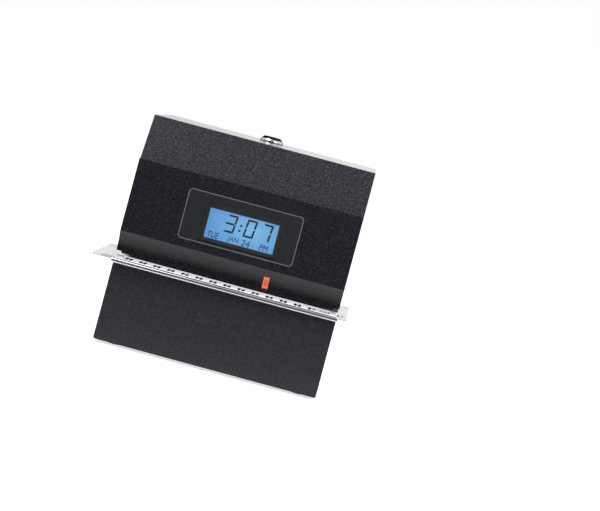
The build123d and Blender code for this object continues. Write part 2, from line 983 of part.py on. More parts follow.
# Sheet bracket across the front of the frame, with standoffs that carry the display board.
display_z = (
    lcd_center_height - display_board_height / 2,
    lcd_center_height + display_board_height / 2,
)
display_post_inset = screw_head_radius + clearance
display_post_x = display_board_width / 2 - display_post_inset
display_posts = [
    (x, board_back_y, z)
    for x in (-display_post_x, display_post_x)
    for z in (display_z[0] + display_post_inset, display_z[1] - display_post_inset)
]
with BuildPart() as display_bracket:
    block(
        (-frame_half, frame_half),
        (front_y + bracket_depth, front_y + bracket_depth + bracket_thickness),
        display_z,
    )
    for post in display_posts:
        rod(post, (0, 1, 0), front_y + bracket_depth - board_back_y, screw_head_radius)
        rod(post, (0, 1, 0), bracket_depth - display_board_depth, screw_radius + running, Mode.SUBTRACT)
finish(display_bracket, "display_bracket")

# Circuit board of the display.
with BuildPart() as display_board:
    block(
        (-display_board_width / 2, display_board_width / 2),
        (front_y + display_board_depth, board_back_y),
        display_z,
    )
    for x, y, z in display_posts:
        rod((x, y, z), (0, -1, 0), board_thickness, screw_radius + running, Mode.SUBTRACT)
finish(display_board, "display_board")

# Four setting buttons under the glass, reached with the cover off, in their switch bodies.
button_names = ("mode_button", "select_button", "change_button", "set_button")
button_height = lcd_z[0] - lcd_border - fit_gap - bezel_wall - clearance - switch_size / 2
button_xs = [(i - (len(button_names) - 1) / 2) * button_pitch for i in range(len(button_names))]
switch_back_y = front_y + display_board_depth
with BuildPart() as button_switches:
    for x in button_xs:
        block(
            (x - switch_size / 2, x + switch_size / 2),
            (front_y + switch_front, switch_back_y),
            (button_height - switch_size / 2, button_height + switch_size / 2),
        )
        rod(
            (x, front_y + switch_front, button_height),
            (0, 1, 0),
            switch_size / 2 - board_thickness / 2,
            button_radius + running,
            Mode.SUBTRACT,
        )
finish(button_switches, "button_switches")


def setting_button(x):
    """A cap on a round stem that slides into its switch."""
    cap_front = front_y + button_front
    cap_back = front_y + switch_front - button_travel - fit_gap
    rod((x, cap_front, button_height), (0, 1, 0), cap_back - cap_front, button_cap_radius)
    rod(
        (x, cap_back, button_height),
        (0, 1, 0),
        front_y + switch_front - cap_back + button_travel,
        button_radius,
    )


for name, x in zip(button_names, button_xs):
    with BuildPart() as button:
        setting_button(x)
    finish(button, name)

# ======== print carriage ========

# Round steel shaft between the side plates, which the carriage slides on.
with BuildPart() as guide_shaft:
    rod(
        (-frame_half - 2 * frame_thickness - clearance, shaft_y, shaft_height),
        (1, 0, 0),
        frame_span + 4 * frame_thickness + 2 * clearance,
        shaft_radius,
    )
finish(guide_shaft, "guide_shaft")

# Flat rail that the front of the carriage rides on.
rail_y = front_y + carriage_rail_depth
with BuildPart() as carriage_rail:
    block(
        (-frame_half, frame_half),
        (rail_y, rail_y + carriage_rail_thickness),
        (shaft_height - carriage_rail_height / 2, shaft_height + carriage_rail_height / 2),
    )
finish(carriage_rail, "carriage_rail")

bush_radius = shaft_radius + bush_wall
lower_run = belt_height - pulley_radius - belt_clearance - belt_thickness
belt_back_y = belt_front_y + belt_width
carriage_half = carriage_width / 2
# Moulded carriage: a bearing block, a neck over the cartridge's notch, a fork on the rail and a belt clip.
with BuildPart() as carriage:
    # bearing block on the shaft
    block(
        (-carriage_half, carriage_half),
        (shaft_y - carriage_block, shaft_y + carriage_block),
        (shaft_height - carriage_block, shaft_height + carriage_block),
    )
    # neck that reaches forward through the ribbon cartridge's notch
    block(
        (-carriage_half, carriage_half),
        (rail_y - 2 * rail_play - neck_thickness / 2, shaft_y - carriage_block),
        (neck_bottom + neck_thickness, neck_top + neck_thickness),
    )
    # fork over the rail
    fork_bottom = shaft_height - neck_thickness / 2
    block(
        (-carriage_half, carriage_half),
        (rail_y - rail_play - neck_thickness / 2, rail_y - rail_play),
        (fork_bottom, neck_top + neck_thickness),
    )
    block(
        (-carriage_half, carriage_half),
        (
            rail_y + carriage_rail_thickness + rail_play,
            rail_y + carriage_rail_thickness + rail_play + neck_thickness / 2,
        ),
        (fork_bottom, neck_top + neck_thickness),
    )
    block(
        (-carriage_half, carriage_half),
        (rail_y - rail_play, rail_y + carriage_rail_thickness + rail_play),
        (fork_bottom, shaft_height + carriage_rail_height / 2 + rail_play),
        Mode.SUBTRACT,
    )
    # lug up to the belt
    block(
        (-carriage_half / 2, carriage_half / 2),
        (shaft_y + carriage_block - neck_thickness / 2, shaft_y + carriage_block),
        (shaft_height, lower_run + belt_thickness + belt_clearance + belt_clip_wall),
    )
    # clip that wraps the lower run of the belt
    block(
        (-carriage_half / 2, carriage_half / 2),
        (shaft_y + carriage_block, belt_back_y + belt_clearance + belt_clip_wall / 2),
        (
            lower_run - belt_clearance - belt_clip_wall,
            lower_run + belt_thickness + belt_clearance + belt_clip_wall,
        ),
    )
    block(
        (-carriage_half / 2, carriage_half / 2),
        (belt_front_y - belt_clearance, belt_back_y + belt_clearance),
        (lower_run - belt_clearance, lower_run + belt_thickness + belt_clearance),
        Mode.SUBTRACT,
    )
    rod(
        (-carriage_half, shaft_y, shaft_height),
        (1, 0, 0),
        carriage_width,
        bush_radius,
        Mode.SUBTRACT,
    )
finish(carriage, "carriage")

# Sintered bush pressed in the bearing block, with running clearance on the shaft.
with BuildPart() as carriage_bush:
    rod((-carriage_half, shaft_y, shaft_height), (1, 0, 0), carriage_width, bush_radius)
    rod(
        (-carriage_half, shaft_y, shaft_height),
        (1, 0, 0),
        carriage_width,
        shaft_radius + running,
        Mode.SUBTRACT,
    )
finish(carriage_bush, "carriage_bush")

# Dot-matrix print head under the neck: body with cooling fins and a nose that points down.
head_top = neck_bottom + neck_thickness
with BuildPart() as print_head:
    head_bottom = nose_height + nose_length
    block(
        (-head_width / 2, head_width / 2),
        (print_y - head_depth / 2, print_y + head_depth / 2),
        (head_bottom, head_top),
    )
    fin_pitch = (head_top - head_bottom) / (fin_count + 1)
    for i in range(fin_count):
        fin_z = head_bottom + (i + 1) * fin_pitch
        for side in (-1, 1):
            edge = side * head_depth / 2
            block(
                (-head_width / 2, head_width / 2),
                sorted((print_y + edge, print_y + edge - side * 2 * fin_gap)),
                (fin_z - fin_gap / 2, fin_z + fin_gap / 2),
                Mode.SUBTRACT,
            )
    block(
        (-nose_width / 2, nose_width / 2),
        (print_y - nose_depth / 2, print_y + nose_depth / 2),
        (nose_height, head_bottom),
    )
finish(print_head, "print_head")

# ======== belt drive ========


def belt_loop(radius, mode=Mode.ADD):
    """The stadium between the two pulleys, swept along the belt's width."""
    with BuildSketch(Plane.XZ.offset(-belt_front_y)) as loop:
        with Locations((0, belt_height)):
            SlotCenterToCenter(2 * pulley_x, 2 * radius)
    extrude(loop.sketch, amount=-belt_width, mode=mode)


# Belt loop between the pulleys; the carriage is clipped to its lower run.
with BuildPart() as drive_belt:
    belt_loop(pulley_radius + belt_clearance + belt_thickness)
    belt_loop(pulley_radius + belt_clearance, Mode.SUBTRACT)
finish(drive_belt, "drive_belt")


def pulley(x, bore):
    """Flanged belt pulley with its axis along Y."""
    start = (x, belt_front_y - pulley_flange, belt_height)
    rod(start, (0, 1, 0), pulley_flange - belt_clearance, pulley_radius + belt_thickness + flange_rim)
    rod(start, (0, 1, 0), pulley_width + pulley_flange - fit_gap, pulley_radius)
    rod(start, (0, 1, 0), pulley_width + pulley_flange, bore, Mode.SUBTRACT)


with BuildPart() as drive_pulley:
    pulley(-pulley_x, motor_shaft_radius)
finish(drive_pulley, "drive_pulley")

with BuildPart() as idler_pulley:
    pulley(pulley_x, motor_shaft_radius + running)
finish(idler_pulley, "idler_pulley")

# Shaft of the carriage motor; the pulley is fixed on it.
with BuildPart() as motor_shaft:
    rod(
        (-pulley_x, belt_front_y - pulley_flange, belt_height),
        (0, 1, 0),
        wall_back_y + shaft_seat - belt_front_y + pulley_flange,
        motor_shaft_radius,
    )
finish(motor_shaft, "motor_shaft")


def motor(x, z, shaft_r):
    """Can motor on the back of the motor wall, with a boss in the wall and a bore for its shaft."""
    bore_length = frame_thickness + shaft_seat + clearance
    rod((x, wall_back_y, z), (0, 1, 0), motor_length, motor_radius)
    rod((x, wall_front_y, z), (0, 1, 0), frame_thickness, motor_boss_radius - fit_gap)
    rod((x, wall_front_y, z), (0, 1, 0), bore_length, shaft_r + running, Mode.SUBTRACT)


with BuildPart() as carriage_motor:
    motor(-pulley_x, belt_height, motor_shaft_radius)
finish(carriage_motor, "carriage_motor")

with BuildPart() as ribbon_motor:
    motor(knob_x, knob_height, ribbon_shaft_radius)
finish(ribbon_motor, "ribbon_motor")

# ======== ribbon ========


def cartridge_outline(inset):
    """Tall body with a notch cut up into its lower side, for the print head."""
    half = cartridge_width / 2 - inset
    notch = notch_width / 2 + inset
    low = cartridge_bottom + inset
    Polyline(
        (-half, low),
        (-half, cartridge_bottom + cartridge_height - inset),
        (half, cartridge_bottom + cartridge_height - inset),
        (half, low),
        (notch, low),
        (notch, cartridge_bottom + notch_height + inset),
        (-notch, cartridge_bottom + notch_height + inset),
        (-notch, low),
        close=True,
    )


ribbon_slit_top = ribbon_height + ribbon_thickness + ribbon_gap

# Open-fronted case of the ribbon cartridge; its legs stand on both sides of the print head.
with BuildPart() as cartridge_case:
    with BuildSketch(Plane.XZ.offset(-cartridge_back_y)) as case_outer:
        with BuildLine():
            cartridge_outline(0)
        make_face()
    extrude(case_outer.sketch, amount=cartridge_thickness - cartridge_wall)
    with BuildSketch(Plane.XZ.offset(-cartridge_back_y + cartridge_wall)) as case_inner:
        with BuildLine():
            cartridge_outline(cartridge_wall)
        make_face()
    extrude(case_inner.sketch, amount=cartridge_thickness, mode=Mode.SUBTRACT)
    rod(
        (knob_x, cartridge_back_y + skin, knob_height),
        (0, -1, 0),
        2 * skin + cartridge_wall,
        ribbon_shaft_radius + belt_clearance,
        Mode.SUBTRACT,
    )
    block(
        (-notch_width / 2 - 2 * cartridge_wall, notch_width / 2 + 2 * cartridge_wall),
        (print_y - ribbon_width / 2 - fit_gap, print_y + ribbon_width / 2 + fit_gap),
        (cartridge_bottom + cartridge_wall, ribbon_slit_top),
        Mode.SUBTRACT,
    )
finish(cartridge_case, "cartridge_case")

# Flat front lid of the cartridge.
with BuildPart() as cartridge_lid:
    with BuildSketch(Plane.XZ.offset(-cartridge_front_y - cartridge_wall)) as lid_outer:
        with BuildLine():
            cartridge_outline(0)
        make_face()
        with Locations((knob_x, knob_height)):
            Circle(ribbon_shaft_radius + belt_clearance, mode=Mode.SUBTRACT)
    extrude(lid_outer.sketch, amount=cartridge_wall)
finish(cartridge_lid, "cartridge_lid")

# Inked ribbon, stretched across the notch between the legs of the cartridge.
with BuildPart() as ink_ribbon:
    ribbon_half = notch_width / 2 + 3 * cartridge_wall
    block(
        (-ribbon_half, ribbon_half),
        (print_y - ribbon_width / 2, print_y + ribbon_width / 2),
        (ribbon_height, ribbon_height + ribbon_thickness),
    )
finish(ink_ribbon, "ink_ribbon")

# Bracket that carries the cartridge in front of the motor wall.
bracket_y = cartridge_back_y + fit_gap
bracket_bottom = cartridge_bottom + notch_height + 2 * clearance
bracket_top = cartridge_bottom + cartridge_height
bracket_half = cartridge_width / 2 + bracket_margin
with BuildPart() as cartridge_bracket:
    block(
        (-bracket_half, bracket_half),
        (bracket_y, bracket_y + bracket_thickness),
        (bracket_bottom, bracket_top),
    )
    flange_low = belt_height + pulley_radius + 2 * belt_thickness + 2 * clearance
    for side in (-1, 1):
        block(
            sorted((side * bracket_half, side * (bracket_half - bracket_thickness))),
            (bracket_y, wall_front_y),
            (flange_low, wall_top - clearance),
        )
        block(
            sorted((side * bracket_half, side * (bracket_half - bracket_thickness))),
            (cartridge_front_y, bracket_y),
            (bracket_bottom, bracket_top),
        )
    rod(
        (knob_x, bracket_y - skin, knob_height),
        (0, 1, 0),
        3 * skin,
        ribbon_shaft_radius + belt_clearance,
        Mode.SUBTRACT,
    )
finish(cartridge_bracket, "cartridge_bracket")

# Knob, roller and shaft that wind the ribbon on.
with BuildPart() as ribbon_knob:
    rod(
        (knob_x, cartridge_front_y - fit_gap - knob_length, knob_height),
        (0, 1, 0),
        knob_length,
        knob_radius,
    )
    for i in range(knob_flutes):
        angle = 2 * math.pi * i / knob_flutes
        rod(
            (
                knob_x + knob_radius * math.cos(angle),
                cartridge_front_y - fit_gap - knob_length,
                knob_height + knob_radius * math.sin(angle),
            ),
            (0, 1, 0),
            knob_length,
            flute_radius,
            Mode.SUBTRACT,
        )
    rod(
        (knob_x, cartridge_front_y - fit_gap, knob_height),
        (0, 1, 0),
        wall_back_y + shaft_seat - cartridge_front_y + fit_gap,
        ribbon_shaft_radius,
    )
    rod(
        (knob_x, print_y - ribbon_width / 2, knob_height),
        (0, 1, 0),
        ribbon_width,
        ribbon_roller_radius,
    )
finish(ribbon_knob, "ribbon_knob")

# ======== card stop and trigger ========
stop_y = (front_y + stop_depth, front_y + stop_depth + stop_thickness)
stop_middle_y = (stop_y[0] + stop_y[1]) / 2
slider_bottom = ceiling_top + fit_gap

# Card stop: a bar across the throat, hung by two stems from a slider on the ceiling plate.
with BuildPart() as card_stop:
    block(
        (-stop_width / 2, stop_width / 2),
        stop_y,
        (guide_top + stop_gap, ceiling_height - stop_gap),
    )
    for x in (-stop_stem_x, stop_stem_x):
        block(
            (x - stop_stem_width / 2, x + stop_stem_width / 2),
            stop_y,
            (ceiling_height - stop_gap, slider_bottom),
        )
    block(
        (-stop_width / 2, stop_width / 2),
        (stop_middle_y - slider_depth / 2, stop_middle_y + slider_depth / 2),
        (slider_bottom, slider_bottom + slider_thickness),
    )
finish(card_stop, "card_stop")

# Moulded trigger bracket: two ears on the ceiling plate, with the optical sensor bridging them.
trigger_y = front_y + trigger_depth
ear_outer = trigger_hub_width / 2 + fit_gap + ear_thickness
with BuildPart() as trigger_bracket:
    for side in (-1, 1):
        block(
            sorted((trigger_x + side * ear_outer, trigger_x + side * (ear_outer - ear_thickness))),
            (trigger_y - trigger_hub_radius, trigger_y + trigger_guard),
            (ceiling_top, trigger_tail_top + ear_rise),
        )
    block(
        (trigger_x - ear_outer, trigger_x + ear_outer),
        (trigger_y + trigger_pin_radius + clearance, trigger_y + trigger_guard),
        (trigger_height + trigger_hub_radius + sensor_gap, trigger_tail_top + ear_rise),
    )
    rod(
        (trigger_x - ear_outer, trigger_y, trigger_height),
        (1, 0, 0),
        2 * ear_outer,
        trigger_pin_radius,
        Mode.SUBTRACT,
    )
finish(trigger_bracket, "trigger_bracket")

# Lever whose finger hangs in the throat; a card pushes it back and its tail leaves the sensor.
with BuildPart() as trigger_lever:
    hub_start = (trigger_x - trigger_hub_width / 2, trigger_y, trigger_height)
    rod(hub_start, (1, 0, 0), trigger_hub_width, trigger_hub_radius)
    block(
        (trigger_x - trigger_hub_width / 4, trigger_x + trigger_hub_width / 4),
        (trigger_y - trigger_pin_radius, trigger_y + trigger_pin_radius),
        (trigger_finger_tip, trigger_tail_top),
    )
    rod(hub_start, (1, 0, 0), trigger_hub_width, trigger_pin_radius + running, Mode.SUBTRACT)
finish(trigger_lever, "trigger_lever")

# ======== boards and battery ========

# Main circuit board, upright on the standoffs of the rear tie.
with BuildPart() as main_board:
    block(
        (-main_board_width / 2, main_board_width / 2),
        (board_y, board_y + board_thickness),
        (main_board_bottom, main_board_top),
    )
    for x, y, z in board_posts:
        rod((x, y, z), (0, -1, 0), board_thickness, screw_radius + running, Mode.SUBTRACT)
finish(main_board, "main_board")

cable_height = display_z[1] + cable_rise
cable_end = cable_height - cable_tail

# Flat cable from the display board, over the mechanism, to the main board.
with BuildPart() as flat_cable:
    cable_front_y = board_back_y + fit_gap
    with BuildSketch(Plane.YZ.offset(cable_x - cable_width / 2)) as ribbon_path:
        with BuildLine():
            FilletPolyline(
                (cable_front_y + cable_thickness / 2, display_z[1] - 2 * cable_thickness),
                (cable_front_y + cable_thickness / 2, cable_height),
                (board_y - component_height / 2, cable_height),
                (board_y - component_height / 2, cable_end),
                radius=component_height / 2,
            )
        trace(line_width=cable_thickness)
    extrude(ribbon_path.sketch, amount=cable_width)
finish(flat_cable, "flat_cable")

# Chips, capacitors and connectors on the front of the main board.
with BuildPart() as board_components:
    chip_row = main_board_bottom + chip_row_share * (main_board_top - main_board_bottom)
    for x in chip_xs:
        block(
            (x - 2 * component_height, x + 2 * component_height),
            (board_y - component_height / 3, board_y),
            (chip_row - component_height, chip_row + component_height),
        )
    for x in capacitor_xs:
        rod(
            (x, board_y, main_board_bottom + 3 * component_height),
            (0, -1, 0),
            component_height,
            component_height / 2,
        )
    block(
        (cable_x - cable_width / 2 - clearance, cable_x + cable_width / 2 + clearance),
        (board_y - component_height, board_y),
        (cable_end - component_height, cable_end),
    )
    for x in terminal_xs:
        block(
            (x - terminal_length / 2, x + terminal_length / 2),
            (board_y - component_height, board_y),
            (main_board_bottom + clearance, main_board_bottom + component_height + clearance),
        )
finish(board_components, "board_components")

# Backup battery: three cells in a wrap, lying in a clip on the pan's floor.
battery_y = front_y + battery_depth
battery_z = floor_top + clip_gauge + battery_radius + fit_gap
with BuildPart() as backup_battery:
    for i in range(cell_count):
        cell_step = (i - (cell_count - 1) / 2) * (2 * battery_radius + fit_gap)
        rod(
            (-battery_length / 2, battery_y + cell_step, battery_z),
            (1, 0, 0),
            battery_length,
            battery_radius,
        )
finish(backup_battery, "backup_battery")

with BuildPart() as battery_clip:
    clip_half = cell_count * (battery_radius + fit_gap)
    block(
        (-battery_length / 3, battery_length / 3),
        (battery_y - clip_half - clip_gauge, battery_y + clip_half + clip_gauge),
        (floor_top, battery_z + battery_radius / 2),
    )
    block(
        (-battery_length / 3, battery_length / 3),
        (battery_y - clip_half, battery_y + clip_half),
        (floor_top + clip_gauge, battery_z + battery_radius),
        Mode.SUBTRACT,
    )
finish(battery_clip, "battery_clip")

# Two steel pins: one that the idler pulley turns on, one that the trigger swings on.
with BuildPart() as pivot_pins:
    pin_front = belt_front_y - pulley_flange - clearance
    rod((pulley_x, pin_front, belt_height), (0, 1, 0), wall_back_y - pin_front, motor_shaft_radius)
    rod((pulley_x, pin_front, belt_height), (0, -1, 0), clearance, 2 * motor_shaft_radius)
    rod(
        (trigger_x - ear_outer - clearance, trigger_y, trigger_height),
        (1, 0, 0),
        2 * (ear_outer + clearance),
        trigger_pin_radius,
    )
finish(pivot_pins, "pivot_pins")

# All the small screws: feet, frame, display board and main board.
with BuildPart() as machine_screws:
    for x in (-foot_x, foot_x):
        for y in (front_y + foot_front, front_y + foot_back):
            rod((x, y, fit_gap), (0, 0, 1), foot_height / 2, screw_head_radius)
            rod((x, y, fit_gap), (0, 0, 1), floor_top + skin, screw_radius)
    for side in (-1, 1):
        for y, z in frame_screw_places:
            screw((side * (frame_half + frame_thickness), y, z), (-side, 0, 0), frame_thickness)
    for x, y, z in display_posts:
        screw((x, y - board_thickness, z), (0, 1, 0), bracket_depth - display_board_depth)
    for x, y, z in board_posts:
        screw((x, y - board_thickness, z), (0, 1, 0), tie_front_y - board_y)
finish(machine_screws, "machine_screws")
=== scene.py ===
import json
import math

import bmesh
import bpy
from mathutils import Matrix, Vector


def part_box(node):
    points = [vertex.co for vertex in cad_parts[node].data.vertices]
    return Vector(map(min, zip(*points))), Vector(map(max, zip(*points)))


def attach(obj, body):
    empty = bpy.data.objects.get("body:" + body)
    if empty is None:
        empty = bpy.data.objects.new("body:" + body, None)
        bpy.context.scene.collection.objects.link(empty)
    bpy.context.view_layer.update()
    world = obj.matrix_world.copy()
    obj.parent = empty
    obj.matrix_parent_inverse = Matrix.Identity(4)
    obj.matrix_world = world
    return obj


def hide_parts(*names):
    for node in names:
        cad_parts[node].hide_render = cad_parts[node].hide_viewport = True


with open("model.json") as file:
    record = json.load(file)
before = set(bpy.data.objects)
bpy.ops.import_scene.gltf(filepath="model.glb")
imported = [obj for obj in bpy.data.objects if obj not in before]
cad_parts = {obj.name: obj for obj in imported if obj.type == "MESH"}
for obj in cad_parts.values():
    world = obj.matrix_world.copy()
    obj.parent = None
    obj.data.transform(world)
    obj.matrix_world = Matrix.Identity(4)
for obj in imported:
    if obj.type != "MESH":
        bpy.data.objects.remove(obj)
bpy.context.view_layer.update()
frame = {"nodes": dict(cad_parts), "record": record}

# Date and time stamp machine.  Metres, X across, Y from the front to the back, Z up.

# ======== camera ========
# A long lens stands a little right of the machine and a little above it, and is rolled a little, so
# that the machine seems to lean.
MM = 0.001
camera_place = Vector((107.26, -1604.93, 292.74)) * MM
camera_yaw = math.radians(1.574)
camera_pitch = math.radians(-5.719)
camera_roll = math.radians(14.890)
camera_data = bpy.data.cameras.new("camera")
camera_data.sensor_width = 36.0
camera_data.lens = 90.68
camera = bpy.data.objects.new("camera", camera_data)
bpy.context.scene.collection.objects.link(camera)
camera.matrix_world = (
    Matrix.Translation(camera_place)
    @ Matrix.Rotation(camera_yaw, 4, "Z")
    @ Matrix.Rotation(math.pi / 2 + camera_pitch, 4, "X")
    @ Matrix.Rotation(camera_roll, 4, "Z")
)
bpy.context.scene.camera = camera
bpy.context.scene.view_settings.view_transform = "Standard"


# ======== floor and light ========
# A white sheet under the machine and a white room round it.  The room is dimmer in front of the
# machine, so that its upright faces stay dark.


def linear(code):
    """The linear colour of an sRGB hex code."""
    channels = [int(code[i:i + 2], 16) / 255 for i in (1, 3, 5)]
    values = [c / 12.92 if c <= 0.04045 else ((c + 0.055) / 1.055) ** 2.4 for c in channels]
    return (*values, 1.0)


def add_node(tree, kind, settings=None, inputs=None):
    """Adds a shader node.  An input is a value, or a (node, output) pair to link from."""
    node = tree.nodes.new(kind)
    for name, value in (settings or {}).items():
        setattr(node, name, value)
    for name, value in (inputs or {}).items():
        socket = node.inputs[name]
        if isinstance(value, tuple) and isinstance(value[0], bpy.types.Node):
            tree.links.new(value[0].outputs[value[1]], socket)
        else:
            socket.default_value = value
    return node


def set_ramp(ramp_node, stops):
    """Gives a colour ramp its stops, each a place and an sRGB code."""
    ramp = ramp_node.color_ramp
    while len(ramp.elements) > 1:
        ramp.elements.remove(ramp.elements[-1])
    ramp.elements[0].position = stops[0][0]
    ramp.elements[0].color = linear(stops[0][1])
    for place, code in stops[1:]:
        ramp.elements.new(place).color = linear(code)


# The room that gloss shows: dim in front of the machine, white behind it, brighter on its right.
world = bpy.data.worlds.new("white room")
bpy.context.scene.world = world
world.use_nodes = True
sky = world.node_tree
sky.nodes.clear()
room_direction = add_node(sky, "ShaderNodeTexCoord")
room_axes = add_node(sky, "ShaderNodeSeparateXYZ", None, {"Vector": (room_direction, "Generated")})
room_depth = add_node(sky, "ShaderNodeMapRange", None, {
    "Value": (room_axes, "Y"), "From Min": -1.0, "From Max": 1.0, "To Min": 0.0, "To Max": 1.0,
})
room_color = add_node(sky, "ShaderNodeValToRGB", None, {"Fac": (room_depth, "Result")})
set_ramp(room_color, [
    (0.0, "#484950"), (0.02, "#5a5b61"), (0.12, "#7e7f85"), (0.46, "#c6c8ce"), (0.7, "#f0f1f3"),
    (1.0, "#ffffff"),
])
room_side = add_node(sky, "ShaderNodeMapRange", None, {
    "Value": (room_axes, "X"), "From Min": -0.15, "From Max": 0.1, "To Min": 0.95, "To Max": 1.2,
})
# The eye, straight or through clear plastic, sees plain white, and the rest is an even soft fill.
rays = add_node(sky, "ShaderNodeLightPath")
seen_white = add_node(sky, "ShaderNodeBackground", None, {"Color": linear("#ffffff"), "Strength": 1.0})
seen_room = add_node(sky, "ShaderNodeBackground", None, {
    "Color": (room_color, "Color"), "Strength": (room_side, "Result"),
})
soft_fill = add_node(sky, "ShaderNodeBackground", None, {"Color": linear("#f4f6ff"), "Strength": 0.45})
glossy_mix = add_node(sky, "ShaderNodeMixShader", None, {"Fac": (rays, "Is Glossy Ray")})
sky.links.new(soft_fill.outputs[0], glossy_mix.inputs[1])
sky.links.new(seen_room.outputs[0], glossy_mix.inputs[2])
straight = add_node(sky, "ShaderNodeMath", {"operation": "MAXIMUM"})
sky.links.new(rays.outputs["Is Camera Ray"], straight.inputs[0])
sky.links.new(rays.outputs["Is Transmission Ray"], straight.inputs[1])
white_mix = add_node(sky, "ShaderNodeMixShader", None, {"Fac": (straight, 0)})
sky.links.new(glossy_mix.outputs[0], white_mix.inputs[1])
sky.links.new(seen_white.outputs[0], white_mix.inputs[2])
add_node(sky, "ShaderNodeOutputWorld", None, {"Surface": (white_mix, 0)})

floor_half = 8.0
mesh = bpy.data.meshes.new("floor_sheet")
bm = bmesh.new()
bmesh.ops.create_grid(bm, x_segments=1, y_segments=1, size=floor_half)
bm.to_mesh(mesh)
bm.free()
floor_sheet = bpy.data.objects.new("floor_sheet", mesh)
bpy.context.scene.collection.objects.link(floor_sheet)

# Matt white paper.  Its own glow lifts it to the white of the room, and gloss sees half of that glow.
floor_glow = 0.68
gloss_share = 0.5
floor_paper = bpy.data.materials.new("white paper sheet")
floor_paper.use_nodes = True
tree = floor_paper.node_tree
tree.nodes.clear()
paper_lit = add_node(tree, "ShaderNodeBsdfDiffuse", None, {"Color": linear("#e8e8ea")})
paper_glow = add_node(tree, "ShaderNodeEmission", None, {
    "Color": linear("#ffffff"), "Strength": floor_glow,
})
paper_sum = add_node(tree, "ShaderNodeAddShader")
tree.links.new(paper_lit.outputs[0], paper_sum.inputs[0])
tree.links.new(paper_glow.outputs[0], paper_sum.inputs[1])
paper_rays = add_node(tree, "ShaderNodeLightPath")
paper_seen = add_node(tree, "ShaderNodeMath", {"operation": "MAXIMUM"})
tree.links.new(paper_rays.outputs["Is Camera Ray"], paper_seen.inputs[0])
tree.links.new(paper_rays.outputs["Is Transmission Ray"], paper_seen.inputs[1])
paper_gloss = add_node(tree, "ShaderNodeMath", {"operation": "MULTIPLY"}, {
    0: (paper_rays, "Is Glossy Ray"), 1: gloss_share,
})
paper_shown = add_node(tree, "ShaderNodeMath", {"operation": "MAXIMUM"}, {0: (paper_seen, 0)})
tree.links.new(paper_gloss.outputs[0], paper_shown.inputs[1])
paper_mix = add_node(tree, "ShaderNodeMixShader", None, {"Fac": (paper_shown, 0)})
tree.links.new(paper_lit.outputs[0], paper_mix.inputs[1])
tree.links.new(paper_sum.outputs[0], paper_mix.inputs[2])

# Towards the front the paper turns dark to gloss, as the room does.
fade_start = -0.12
fade_end = -0.27
fade_most = 0.97
paper_place = add_node(tree, "ShaderNodeTexCoord")
paper_axes = add_node(tree, "ShaderNodeSeparateXYZ", None, {"Vector": (paper_place, "Object")})
paper_fade = add_node(tree, "ShaderNodeMapRange", None, {
    "Value": (paper_axes, "Y"), "From Min": fade_start, "From Max": fade_end,
    "To Min": 0.0, "To Max": fade_most,
})
paper_front = add_node(tree, "ShaderNodeMath", {"operation": "MULTIPLY"}, {0: (paper_fade, "Result")})
tree.links.new(paper_rays.outputs["Is Glossy Ray"], paper_front.inputs[1])
paper_dark = add_node(tree, "ShaderNodeEmission", None, {"Color": linear("#1c1d20"), "Strength": 1.0})
paper_end = add_node(tree, "ShaderNodeMixShader", None, {"Fac": (paper_front, 0)})
tree.links.new(paper_mix.outputs[0], paper_end.inputs[1])
tree.links.new(paper_dark.outputs[0], paper_end.inputs[2])
add_node(tree, "ShaderNodeOutputMaterial", None, {"Surface": (paper_end, 0)})
mesh.materials.append(floor_paper)

lamp_target = Vector((0, 0, 0.1))


def softbox(name, place, size, power):
    """A square area lamp that points at the middle of the machine."""
    lamp = bpy.data.lights.new(name, "AREA")
    lamp.shape = "SQUARE"
    lamp.size = size
    lamp.energy = power
    lamp_object = bpy.data.objects.new(name, lamp)
    bpy.context.scene.collection.objects.link(lamp_object)
    aim = (lamp_target - Vector(place)).to_track_quat("-Z", "Y")
    lamp_object.matrix_world = Matrix.Translation(Vector(place)) @ aim.to_matrix().to_4x4()


softbox("key_softbox", (-0.72, -0.42, 1.6), size=0.9, power=13.0)
softbox("fill_softbox", (1.15, -1.0, 1.15), size=0.9, power=13.5)
softbox("back_softbox", (0.2, 1.2, 1.5), size=1.0, power=10.0)


# ======== cover ========
# Drawn steel shell, bent over the front in four folds and sprayed with black wrinkle enamel, which
# dries into a fine, satin grain.  It rides with the lock that it carries.
nodes = frame["nodes"]
body_of_node = {
    node: body for body, members in frame["record"]["behaviour"]["bodies"].items() for node in members
}


def new_material(name, color, metallic=0.0, roughness=0.5, settings=None):
    """A named material with one principled shader, its colour as an sRGB code."""
    material = bpy.data.materials.new(name)
    material.use_nodes = True
    shader = material.node_tree.nodes["Principled BSDF"]
    shader.inputs["Base Color"].default_value = linear(color)
    shader.inputs["Metallic"].default_value = metallic
    shader.inputs["Roughness"].default_value = roughness
    for socket, value in (settings or {}).items():
        shader.inputs[socket].default_value = value
    return material, material.node_tree, shader


def grain(tree, size_mm, detail, stretch=(1.0, 1.0, 1.0)):
    """Noise on the object's own coordinates whose features are about this many millimetres."""
    place = add_node(tree, "ShaderNodeTexCoord")
    fit = add_node(tree, "ShaderNodeMapping", None, {"Vector": (place, "Object"), "Scale": stretch})
    return add_node(tree, "ShaderNodeTexNoise", None, {
        "Vector": (fit, "Vector"), "Scale": 1.0 / (size_mm * MM), "Detail": detail, "Roughness": 0.6,
    })


